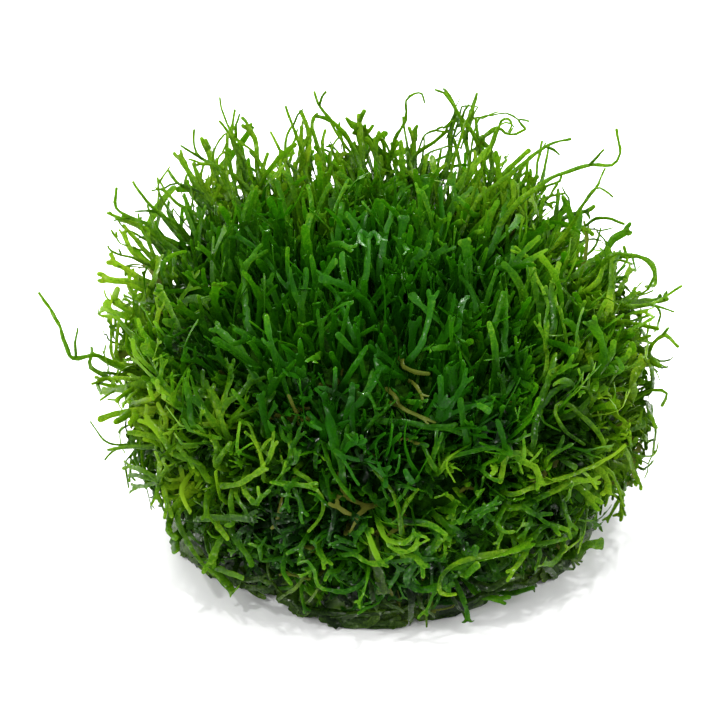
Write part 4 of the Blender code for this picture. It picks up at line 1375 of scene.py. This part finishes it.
def crownRibbons(bunches, seen, dice, layer):
    look = {**crownLook, **layer}
    near, far = look["spread"]
    for index in range(look["count"]):
        radius = math.sqrt(near ** 2 + (far ** 2 - near ** 2) * (index + dice.random()) / look["count"])
        share = radius / far
        angle = dice.uniform(0, math.tau)
        outward = Vector((math.cos(angle), math.sin(angle), 0))
        root = outward * (radius - look["rootIn"] * share ** 3)
        root.z = look["rootHeight"] - look["rootDrop"] * share ** 4
        root -= outward * dentAt(outward * radius + up * cushionForm["crownHeight"])
        back = max(outward.y, 0.0) * share
        lean = math.radians(look["rimLean"] + look["lean"] * dice.gauss(0, 1))
        lean *= share ** look["leanPower"] * (1 - look["backUpright"] * back)
        heading = outward * math.sin(lean) + up * math.cos(lean)
        heading = heading + anyDirection(dice) * math.tan(math.radians(look["looseLean"])) * dice.random()
        heading.normalize()
        tip = dice.uniform(*look["tips"]) + look["backRise"] * back
        tip -= look["edgeDrop"] * share ** 3 * (1 - look["backDrop"] * back)
        total = (tip - root.z) / max(heading.z, look["leastRise"])
        forks = dice.choice(look["forks"])
        stem = total * look["stems"][forks] * dice.uniform(*look["stemVary"])
        # The rim of the crown is paler, more at the sides and the back and less at the front: partly its own
        # paler green and partly painted light shining through the thin ribbons, with painted shade at the
        # front
        way = 1 - look["dimFront"] * max(-outward.y, 0.0) + look["paleSide"] * abs(outward.x)
        way += look["paleBack"] * max(outward.y, 0.0)
        tone = dice.uniform(*look["tone"]) + look["paleRim"] * share ** 2 * way + patchTone(root)
        warmth = max(warmthAt(root), look["warmBack"] * back * share)
        age = 1.0 if dice.random() < look["oldShare"] else warmth
        look["pull"] = up * dice.uniform(*look["lift"])
        growThallus(bunches["back" if root.y > 0 else "front"], seen, dice, look, root, heading,
                    outward * look["faceOut"] + anyDirection(dice), stem, dice.uniform(*look["width"]),
                    forks, tone, age)


# The side: ribbons that stand out, droop and curl, with more forks

sideLook = {
    "forkAngle": (22, 44),
    "opening": (-0.7, 0.2, 0.7),
    "tipLength": (0.6, 1.7),
    "sway": 0.05,
    "wander": 0.05,
    "twist": 0.1,
    "taper": 0.16,
    "flare": 0.5,
    "low": 5.0,
    "high": 36.0,
    "heights": (5.0, 36.0),
    "heightPower": 0.8,
    "nearest": 0.0,
    "topLean": 52.0,
    "footLean": 108.0,
    "climb": 0.6,
    "droop": 0.05,
    "droopVary": (0.0, 1.6),
    "droopHigh": 0.8,
    "faceLoose": 0.9,
    "paleLeft": 0.25,
    "paleRight": 0.08,
    "oldShare": 0.02,
    "oldLow": 0.05,
    "floor": 3.6,
    "depthShadeShare": 0.6,
}

# Layers of the side: the deep one is short and dark, the outer one long and bright,
# the fringe sparse and far out, then thin whips, and the last one hangs over the foot
# where the photo doesn't show it
sideLayers = {
    "deep": {"count": 1400, "sink": 4.6, "length": (2.6, 5.0), "forkLength": (1.6, 3.0), "curl": 0.09,
             "width": (0.85, 1.2), "forks": (0, 1, 1), "tone": (0.0, 0.35), "spread": 0.6,
             "inset": 2.6, "tipFork": 0.2, "holes": False, "step": 1.5, "sides": 4},
    "outer": {"count": 1100, "sink": 3.6, "length": (3.4, 6.6), "forkLength": (2.0, 4.4), "curl": 0.11,
              "width": (0.85, 1.35), "forks": (0, 0, 1, 1, 2), "tone": (-0.12, 0.68), "spread": 0.9,
              "inset": 1.7, "tipFork": 0.75, "holes": True, "step": 0.9, "sides": 4},
    "fringe": {"count": 90, "sink": 2.8, "length": (5.0, 8.5), "forkLength": (2.0, 4.0), "curl": 0.12,
               "width": (0.6, 0.95), "forks": (0, 1, 1), "tone": (0.4, 1.0), "spread": 0.6,
               "inset": 0.0, "tipFork": 0.8, "holes": False, "step": 0.9, "sides": 6},
    "whips": {"count": 120, "sink": 2.6, "length": (6.0, 12.0), "forkLength": (3.0, 6.0), "curl": 0.13,
              "width": (0.5, 0.7), "forks": (0, 0, 1), "tone": (0.2, 0.9), "spread": 1.2,
              "inset": 0.6, "tipFork": 0.5, "holes": False, "step": 1.2, "sides": 6},
    "low": {"count": 640, "sink": 2.2, "length": (2.6, 5.5), "forkLength": (1.6, 3.4), "curl": 0.1,
            "width": (0.85, 1.3), "forks": (0, 0, 1, 1), "tone": (0.0, 0.5), "spread": 0.8,
            "inset": 1.0, "tipFork": 0.6, "holes": False, "step": 1.2, "sides": 4,
            "nearest": 82.0, "heights": (1.5, 13.0), "floor": 0.5},
}


def sideName(angle):
    # Which quarter of the side a turn from the front falls in
    if abs(angle) < math.pi / 4:
        return "front"
    if abs(angle) > math.pi * 3 / 4:
        return "back"
    return "right" if angle > 0 else "left"


def sideRibbons(bunches, seen, dice, layer):
    look = {**sideLook, **layer}
    low, high = look["heights"]
    for index in range(look["count"]):
        angle = dice.uniform(-math.pi, math.pi)
        if abs(math.degrees(angle)) < look["nearest"]:
            continue
        height = low + (high - low) * dice.random() ** look["heightPower"]
        share = (height - look["low"]) / (look["high"] - look["low"])
        outward = Vector((math.sin(angle), -math.cos(angle), 0))
        root = outward * (surfaceRadius(height) - look["sink"]) + up * height
        root -= outward * dentAt(root)
        lean = math.radians(look["footLean"] + (look["topLean"] - look["footLean"]) * share)
        heading = outward * math.sin(lean) + up * math.cos(lean)
        around = outward.cross(up) * dice.gauss(0, look["spread"])
        heading = heading + around + up * dice.gauss(0, look["spread"] * look["climb"])
        heading.normalize()
        forks = dice.choice(look["forks"])
        patch = patchTone(root)
        # Paler towards the left and right, more so higher up: partly the yellower green of the sides and
        # partly painted light through the thin ribbons
        pale = look["paleLeft" if outward.x < 0 else "paleRight"] * abs(outward.x) ** 3 * max(share, 0.0)
        tone = dice.uniform(*look["tone"]) + pale + patch
        if noise.noise(root / patchForm["holeSize"]) < patchForm["hole"] and look["holes"]:
            continue
        old = dice.random() < look["oldShare"] + look["oldLow"] * min(1 - share, 1.0) ** 2
        age = 1.0 if old else warmthAt(root)
        droop = dice.uniform(*look["droopVary"])
        look["pull"] = up * -look["droop"] * droop * (1 - share * look["droopHigh"])
        facing = outward + anyDirection(dice) * look["faceLoose"]
        growThallus(bunches[sideName(angle)], seen, dice, look, root, heading, facing,
                    dice.uniform(*look["length"]), dice.uniform(*look["width"]), forks, tone, age)


# The inside of the tangle

matForm = {
    "sideInset": 4.2,
    "crownTop": 34.5,
    "lump": 1.2,
    "lumpSize": 7.0,
    "tuft": 1.7,
    "tuftSize": 1.6,
    "rings": 84,
    "turns": 190,
    "floor": 0.5,
}


def closedBody(name, rows, bottomHeight, topHeight, material):
    # Rings of points from the bottom to the top become one closed, smooth piece
    work = bmesh.new()
    rings = [[work.verts.new(spot * mm) for spot in row] for row in rows]
    bottom = work.verts.new(up * bottomHeight * mm)
    top = work.verts.new(up * topHeight * mm)
    turns = len(rows[0])
    for turn in range(turns):
        after = (turn + 1) % turns
        for low, high in zip(rings, rings[1:]):
            work.faces.new((low[turn], low[after], high[after], high[turn]))
        work.faces.new((bottom, rings[0][after], rings[0][turn]))
        work.faces.new((top, rings[-1][turn], rings[-1][after]))
    bmesh.ops.recalc_face_normals(work, faces=work.faces)
    mesh = bpy.data.meshes.new(name)
    work.to_mesh(mesh)
    work.free()
    mesh.materials.append(material)
    mesh.shade_smooth()
    print("%s: %d rings of %d points" % (name, len(rows), turns))
    finishPiece(bpy.data.objects.new(name, mesh), "cushion")


def insideMat(material):
    # A closed, lumpy body a little inside the roots of the ribbons, dark with painted shade
    rows = []
    waist = cushionForm["waistHeight"]
    crownRise = matForm["crownTop"] - waist
    power = 2 / cushionForm["squareness"]
    for ring in range(1, matForm["rings"]):
        share = ring / matForm["rings"] * 2
        if share < 1:
            height = waist * (1 - math.cos(share * math.pi / 2))
            radius = surfaceRadius(height) - matForm["sideInset"]
        else:
            angle = (share - 1) * math.pi / 2
            radius = (cushionForm["waistRadius"] - matForm["sideInset"]) * math.cos(angle) ** power
            height = waist + crownRise * math.sin(angle) ** power
        row = []
        for turn in range(matForm["turns"]):
            angle = turn / matForm["turns"] * math.tau
            spot = Vector((radius * math.cos(angle), radius * math.sin(angle), height))
            outward = (spot - up * waist).normalized()
            spot += outward * (noise.noise(spot / matForm["lumpSize"]) * matForm["lump"]
                               + noise.noise(spot / matForm["tuftSize"]) * matForm["tuft"])
            spot.z = max(spot.z, matForm["floor"])
            row.append(spot)
        rows.append(row)
    closedBody("inner_mat", rows, matForm["floor"], matForm["crownTop"], material)


# The foot: a wet rim pressed flat under the clump, with broad dark ribbons across it

footForm = {
    "radius": 30.6,
    # The rim at the front: turns from the middle in degrees, and how far out
    "rim": ((-100, 31.5), (-85, 32.8), (-72, 34.2), (-60, 34.0), (-50, 33.0), (-42, 31.0), (-35, 29.8),
            (-32, 30.4), (-28, 28.2), (-25, 27.4), (-19, 32.6), (-11, 34.6), (0, 33.2), (8, 32.0), (14, 32.4),
            (20, 32.6), (28, 32.2), (34, 30.2), (40, 28.6), (46, 30.2), (52, 32.4), (60, 33.4),
            (73, 34.2), (82, 33.6), (100, 31.5)),
    "ruffle": 2.2,
    "ruffleSize": 5.0,
    "crease": 0.55,
    "creaseSize": 1.9,
    "creaseRise": 0.5,
    "turns": 180,
    # The profile: how far in from the rim, and how high
    "profile": ((1.2, 0.05), (0.3, 0.4), (0.0, 1.2), (0.1, 2.4), (0.4, 3.6), (0.9, 4.8), (1.8, 6.0),
                (3.4, 7.0), (6.0, 7.6), (10.0, 8.0)),
}


def footRadius(angle):
    # The rim's radius at a turn from the front
    turn = math.degrees(math.remainder(angle, math.tau))
    for (low, near), (high, far) in zip(footForm["rim"], footForm["rim"][1:]):
        if low <= turn <= high:
            return near + (far - near) * (turn - low) / (high - low)
    way = Vector((math.sin(angle), -math.cos(angle), 0)) * footForm["radius"]
    return footForm["radius"] + footForm["ruffle"] * noise.noise(way / footForm["ruffleSize"])


def footMat(material):
    rows = []
    floor = footForm["profile"][0][1]
    for inset, height in footForm["profile"]:
        row = []
        for turn in range(footForm["turns"]):
            angle = turn / footForm["turns"] * math.tau
            radius = footRadius(angle) - inset
            spot = Vector((math.sin(angle) * radius, -math.cos(angle) * radius, height))
            crease = noise.noise(spot / footForm["creaseSize"]) * footForm["crease"]
            spot += Vector((math.sin(angle), -math.cos(angle), 0)) * crease
            spot.z = max(spot.z + crease * footForm["creaseRise"], floor)
            row.append(spot)
        rows.append(row)
    closedBody("foot_mat", rows, floor, footForm["profile"][-1][1], material)


# Some lie across the front of the foot, with every third of these anywhere round it, and more
# make a ring along its edge
footLook = {
    "frontCount": 150,
    "frontSpread": 1.1,
    "roundEvery": 3,
    "ringCount": 520,
    "ringHeights": (0.6, 5.6),
    "ringTone": (0.1, 0.8),
    "narrowing": 0.15,
    "sunk": 0.1,
    "along": 0.9,
    "climb": (-1.2, 0.5),
    "out": (0.0, 0.4),
    "faceUp": 0.5,
    "age": (0.0, 0.4),
    "length": (2.5, 8.0),
    "width": (0.9, 2.0),
    "heights": (2.0, 7.0),
    "forks": (0, 0, 1),
    "tone": (0.0, 0.5),
    "forkAngle": (14, 34),
    "forkLength": (1.5, 3.5),
    "tipLength": (0.6, 1.6),
    "tipFork": 0.35,
    "opening": (-0.7, 0.2, 0.6),
    "step": 1.0,
    "curl": 0.03,
    "sway": 0.1,
    "wander": 0.06,
    "twist": 0.03,
    "taper": 0.2,
    "flare": 0.4,
    "inset": 2.0,
    "floor": 0.4,
    "depthShadeShare": 0.3,
    "pull": Vector((0, 0, -0.02)),
}


def footRibbons(bunch, dice):
    look = footLook
    for index in range(look["frontCount"] + look["ringCount"]):
        ring = index >= look["frontCount"]
        if ring or index % look["roundEvery"] == 0:
            angle = dice.uniform(-math.pi, math.pi)
        else:
            angle = dice.gauss(0, look["frontSpread"])
        height = dice.uniform(*look["ringHeights" if ring else "heights"])
        outward = Vector((math.sin(angle), -math.cos(angle), 0))
        root = outward * (footRadius(angle) - look["narrowing"] * height - look["sunk"]) + up * height
        around = outward.cross(up) * dice.gauss(0, look["along"])
        heading = around + up * dice.uniform(*look["climb"]) + outward * dice.uniform(*look["out"])
        growRibbon(bunch, dice, look, root, heading.normalized(), outward + up * look["faceUp"],
                   dice.uniform(*look["length"]), dice.uniform(*look["width"]),
                   dice.choice(look["forks"]), dice.uniform(*look["ringTone" if ring else "tone"]),
                   dice.uniform(*look["age"]))


# Stray ribbons: each stands clear of the cushion and is a piece of its own. Each has the
# depths or lifts of its root and its tip, the places in the picture that it passes, and
# its forks as the place of the run that it leaves and its own tip.

strayLook = {
    "width": 0.9,
    "forkWidth": 0.55,
    "forkShare": 0.8,
    "forkLead": 0.5,
    "forkBow": 0.5,
    "age": 0.3,
    "rootIn": 6.0,
    "tones": (0.55, 0.95),
    "pressedTones": (0.1, 0.35),
}

# Those that are finer or broader than the rest
strayWidths = {
    "stray_crown_wavy": 0.45,
    "stray_crown_curl": 0.55,
    "stray_crown_hook": 0.8,
    "stray_crown_fork": 1.1,
    "stray_left_wisp": 1.0,
    "stray_left_low_hook": 0.7,
    "stray_right_elbow": 1.0,
    "stray_right_hook": 0.7,
    "ribbon_right_loop": 0.9,
    "ribbon_front_curl": 1.2,
    "ribbon_left_strap": 1.2,
    "pressed_ribbon_upper": 1.4,
    "pressed_ribbon_lower": 1.6,
}

crownStrays = {
    "stray_shoulder_left_low": (14, 16,
     ((-30, 18), (-33, 21), (-35.5, 22), (-37.5, 23.5), (-37.5, 26.5)), ((2, (-37.8, 21.4)),)),
    "stray_shoulder_left": (18, 20,
     ((-26, 18.5), (-28.5, 21), (-31.5, 23), (-34, 26), (-35, 27.5)), ((2, (-34.6, 22.8)),)),
    "stray_shoulder_left_high": (27, 31,
     ((-20, 26), (-22, 29.5), (-24.5, 31), (-25.5, 33), (-25.5, 35.5)), ((2, (-27.6, 33)),)),
    "stray_crown_left": (31, 35,
     ((-14.5, 29), (-16.5, 32), (-19.5, 34.5), (-21, 38), (-21.5, 40.5)), ((2, (-18.6, 38)),)),
    "stray_crown_mid_left": (33, 36,
     ((-8.5, 29), (-9, 32.5), (-10.5, 36.5), (-11.5, 39)), ((2, (-8.8, 38.6)),)),
    "stray_crown_fork": (34, 37,
     ((-0.5, 31), (-2.5, 35), (-5, 37.5), (-6.5, 39.5), (-7.2, 41.2)), ((3, (-5.2, 41.4)),)),
    "stray_crown_hook": (33, 35,
     ((4.3, 28), (5, 33), (7, 37), (7.2, 39.8), (8.5, 41.1), (9.6, 40.9), (10, 39.5)), ()),
    "stray_crown_cross_left": (34, 36,
     ((19, 30), (17, 35.5), (15.5, 37.5), (14.5, 39), (13, 41)), ((2, (16.8, 39.4)),)),
    "stray_crown_cross_right": (30, 32,
     ((14, 29), (15.5, 34), (16.5, 37), (17.5, 39), (18, 41)), ()),
    "stray_crown_wavy": (26.5, 28,
     ((16.6, 29), (17.5, 35), (18.5, 37.3), (20.2, 37.6), (22.5, 38), (24.5, 37)), ()),
    "stray_crown_curl": (23, 25,
     ((18, 27), (20, 33), (21, 35.5), (22.3, 36.6), (23.6, 36), (23, 34.8)), ()),
    "stray_shoulder_right": (20, 24,
     ((18, 24.5), (21, 27), (25.5, 30.5), (29, 33), (32.5, 34)), ((3, (30.8, 31.6)),)),
    "stray_right_elbow": (15, 18,
     ((24, 24), (28.5, 27.5), (32, 29), (35.5, 30), (38.7, 30.1), (40, 31.8), (39.5, 35.5)),
     ((3, (37.4, 32.4)),)),
    "stray_right_hook": (11.5, 13,
     ((31, 18.5), (34.5, 24), (36.3, 26.3), (37.6, 26), (39, 25)), ()),
}

sideStrays = {
    "stray_left_wisp": (-3, -8,
     ((-34, -2), (-38, -0.5), (-41, 0.8), (-44.2, 0.3), (-45.4, 2.5), (-46.8, 6.5), (-49.5, 10.5)),
     ((3, (-43.4, 5)),)),
    "stray_left_low_hook": (-12, -14,
     ((-33, -12.5), (-37, -13), (-39.4, -12.3), (-41.5, -9.5)), ((1, (-39.4, -15.4)),)),
    "stray_left_fork": (-7, -9,
     ((-33.5, -5), (-37, -4.2), (-40.5, -3.5)), ((1, (-40, -6.2)),)),
    "stray_right_arch": (5, 4,
     ((35.5, 13), (38.5, 16), (41.5, 16.2), (44.3, 15.2), (45.2, 12.8), (44.2, 10.8)), ()),
    "stray_right_reach": (1, 5,
     ((37, 7.4), (41.5, 8.4), (45, 8.6), (49.5, 11.5)), ((2, (48.4, 7.4)),)),
    "stray_right_knee": (-4, -6,
     ((39.5, -4.6), (43, -2), (44.6, 1.6), (46.8, 4), (49, 2)), ((3, (47.6, 5)),)),
    "stray_right_low_hook": (-9, -10,
     ((39, -9), (42, -6.2), (45, -4.6), (47.3, -5.2), (46.4, -7.2)), ()),
    "stray_right_tail": (-15, -14,
     ((37.5, -15.5), (38.6, -19.8), (40.2, -21.8), (40.5, -24)), ((1, (37.6, -22.6)),)),
}

frontRibbons = {
    "ribbon_right_loop": (2.0, 4.0,
     ((37.4, -13.6), (36.5, -11), (33.5, -8), (31, -6.6), (30, -8.2), (31.6, -11), (34.5, -13)), ()),
    "ribbon_right_long": (1.5, 4.5,
     ((23, -20.7), (28, -19), (34.5, -17), (38.5, -15), (41, -13)), ((2, (36.6, -19.8)),)),
    "ribbon_front_curl": (1.5, 4.0,
     ((25, -28.6), (19.5, -30), (15, -31.2), (12.6, -33.4), (12.4, -35.8), (14.8, -36)), ()),
    "ribbon_front_elbow": (1.5, 4.0,
     ((6.6, -27), (6, -23.5), (5, -20.5), (2, -16.8)), ((1, (9, -19.8)),)),
    "ribbon_front_fork": (1.5, 3.5,
     ((-14.6, -18.6), (-15, -16), (-15.6, -13.6), (-16.6, -11.6)), ((2, (-13.6, -12)),)),
    "ribbon_left_strap": (1.5, 2.5,
     ((-28, -23.5), (-26.8, -27.5), (-24.5, -31), (-20.6, -34.6)), ((2, (-21.8, -30.4)),)),
}

oldRibbons = {
    "old_ribbon_bend": (2.0, 3.0,
     ((-10, -17), (-8, -18.2), (-6, -21), (-5.8, -23.6), (-8, -26.5)), ()),
}

pressedRibbons = {
    "pressed_ribbon_upper": (0.9, 0.9, ((-10, -37.4), (-4, -38.8), (2, -38.9), (7.5, -38)), ()),
    "pressed_ribbon_lower": (1.4, 1.4, ((-9, -39.2), (-5.6, -40.3), (-1, -40.8), (5, -40.1)), ()),
}


def strayPiece(name, route, findPoint, seen, dice, material, tones):
    rootPlace, tipPlace, run, forks = route
    last = len(run) - 1
    points = [findPoint(across, rise, rootPlace + (tipPlace - rootPlace) * index / last)
              for index, (across, rise) in enumerate(run)]
    seen.mark(points)
    bunch = newBunch()
    inward = (up * cushionForm["waistHeight"] - points[0]).normalized()
    tone = dice.uniform(*tones)
    root = points[0] + inward * strayLook["rootIn"]
    width = strayWidths.get(name, strayLook["width"])
    placeRibbon(bunch, dice, [root] + points, width, tone, strayLook["age"], placedForms["stray"])
    lead = strayLook["forkLead"]
    for index, (across, rise) in forks:
        onward = (points[index] - points[index - 1]).normalized()
        start = points[index] - onward * lead
        tip = seenPoint(across, rise, start.y - lead)
        branch = [start, start.lerp(tip, 0.5) + onward * lead * strayLook["forkBow"], tip]
        seen.mark(branch)
        placeRibbon(bunch, dice, branch, min(strayLook["forkWidth"], width * strayLook["forkShare"]), tone,
                    strayLook["age"], placedForms["strayFork"])
    sweepBunch(name + "_ribbon", bunch, placedLook["sides"], material, "thin", name)


# Building

crownGreen = ribbonMaterial("wet green ribbons of the crown", "fresh", "warm", "throughFresh",
                            wet=0.2, gleam=0.45)
sideGreen = ribbonMaterial("wet green ribbons of the side", "side", "warm", "throughWarm",
                           wet=0.2, gleam=1.0)
pressed = ribbonMaterial("pressed wet ribbons", "pressed", "pressed", "throughWarm", wet=1.0, gleam=1.0)
print("materials of the ribbons: done")
# Every random draw follows from this seed, also the wobble of the placed ribbons
seed = 41
noise.seed_set(seed)
dice = random.Random(seed)
seen = SeenRibbons()

# Groups of single ribbons, how their places are found, and their material, slot and tones
strayGroups = (
    (crownStrays, seenPoint, sideGreen, "ribbon_green", strayLook["tones"]),
    (sideStrays, seenPoint, sideGreen, "ribbon_green", strayLook["tones"]),
    (frontRibbons, levelPoint, sideGreen, "ribbon_green", strayLook["tones"]),
    (oldRibbons, levelPoint, sideGreen, "old_ribbon_tan", strayLook["tones"]),
    (pressedRibbons, levelPoint, pressed, "pressed_ribbon_brown", strayLook["pressedTones"]),
)
for group, findPoint, material, slotName, tones in strayGroups:
    for name, route in group.items():
        strayPiece(name, route, findPoint, seen, dice, material, tones)
print("single ribbons: done")

# Pieces of placed ribbons: the material, the section, and the tables of each form
seenPieces = {
    "seen_crown": (crownGreen, "flat", {"crown": (crownSeen,), "shoulder": (shoulderSeen,)}),
    "seen_side": (sideGreen, "flat", {"side": (leftSeen, frontSeen, rightSeen), "old": (oldSeen,)}),
    "seen_edges": (sideGreen, "thin", {"edge": (leftEdgeSeen, topEdgeSeen, rightEdgeSeen)}),
    "seen_foot": (pressed, "flat", {"foot": (footSeen,)}),
}
for name, (material, section, forms) in seenPieces.items():
    bunch = newBunch()
    for form, tables in forms.items():
        for table in tables:
            seenRibbons(bunch, seen, dice, table, placedForms[form])
    sweepBunch(name, bunch, placedLook["sides"], material, section)
print("placed ribbons: done")

for layerName, layer in crownLayers.items():
    bunches = {name: newBunch() for name in ("front", "back")}
    crownRibbons(bunches, seen, dice, layer)
    for name, bunch in bunches.items():
        sweepBunch("crown_%s_%s" % (layerName, name), bunch, layer["sides"], crownGreen)
for layerName, layer in sideLayers.items():
    bunches = {name: newBunch() for name in ("front", "back", "left", "right")}
    sideRibbons(bunches, seen, dice, layer)
    section = "thin" if layer["width"][1] < 1 else "flat"
    for name, bunch in bunches.items():
        # The low ribbons keep clear of the front, so that bunch stays empty
        if bunch["points"]:
            sweepBunch("side_%s_%s" % (layerName, name), bunch, layer["sides"], sideGreen, section)
bunch = newBunch()
footRibbons(bunch, dice)
sweepBunch("foot_ribbons", bunch, placedLook["sides"], pressed)
insideMat(matMaterial("deep tangle in painted shade", matFinish["deep"]))
footMat(matMaterial("wet foot", matFinish["foot"]))
print("grown ribbons and bodies: done")

# Stage

# These are in metres
stageSettings = {
    "floorSize": 6.0,
    "paper": (0.86, 0.86, 0.86, 1.0),
    "paperRoughness": 0.8,
    "room": (1, 1, 1, 1),
    "roomLight": 0.9,
    "aim": Vector((0, 0, 0.025)),
}

# Round lights: where each stands, how large it is, and its power
stageLights = {
    "top": ((-0.15, 0.25, 0.75), 0.5, 7.3),
    "front left": ((-0.55, -0.55, 0.5), 0.4, 3.2),
    "right": ((0.65, -0.2, 0.4), 0.4, 3.0),
    "back": ((-0.1, 0.75, 0.3), 0.4, 10.0),
    "left glint": ((-0.35, -0.4, 0.7), 0.04, 2.0),
    "right glint": ((0.3, 0.1, 0.8), 0.04, 2.0),
    "middle glint": ((0.05, -0.3, 0.8), 0.04, 1.8),
}


def addFloor():
    mesh = bpy.data.meshes.new("floor")
    half = stageSettings["floorSize"] / 2
    corners = [(-half, -half, 0), (half, -half, 0), (half, half, 0), (-half, half, 0)]
    mesh.from_pydata(corners, [], [(0, 1, 2, 3)])
    material = bpy.data.materials.new("paper")
    material.use_nodes = True
    shader = material.node_tree.nodes["Principled BSDF"]
    shader.inputs["Base Color"].default_value = stageSettings["paper"]
    shader.inputs["Roughness"].default_value = stageSettings["paperRoughness"]
    mesh.materials.append(material)
    floor = bpy.data.objects.new("floor", mesh)
    bpy.context.scene.collection.objects.link(floor)


def addLight(name, place, size, power):
    light = bpy.data.lights.new(name, "AREA")
    light.shape = "DISK"
    light.size = size
    light.energy = power
    lamp = bpy.data.objects.new(name, light)
    lamp.location = place
    lamp.rotation_euler = (stageSettings["aim"] - Vector(place)).to_track_quat("-Z", "Y").to_euler()
    bpy.context.scene.collection.objects.link(lamp)


def addRoom():
    world = bpy.data.worlds.new("room")
    world.use_nodes = True
    background = world.node_tree.nodes["Background"]
    background.inputs["Color"].default_value = stageSettings["room"]
    background.inputs["Strength"].default_value = stageSettings["roomLight"]
    bpy.context.scene.world = world
    bpy.context.scene.view_settings.view_transform = "Standard"


def addCamera():
    data = bpy.data.cameras.new("camera")
    data.sensor_width = viewSettings["sensor"]
    data.lens = viewSettings["sensor"] * viewSettings["distance"] / viewSettings["frameWidth"]
    data.clip_start, data.clip_end = viewSettings["clip"]
    camera = bpy.data.objects.new("camera", data)
    camera.location = (viewSettings["middle"] + toEye * viewSettings["distance"]) * mm
    camera.rotation_euler = (-toEye).to_track_quat("-Z", "Y").to_euler()
    bpy.context.scene.collection.objects.link(camera)
    bpy.context.scene.camera = camera


addFloor()
for name, (place, size, power) in stageLights.items():
    addLight(name, place, size, power)
addRoom()
addCamera()
print("stage: done")
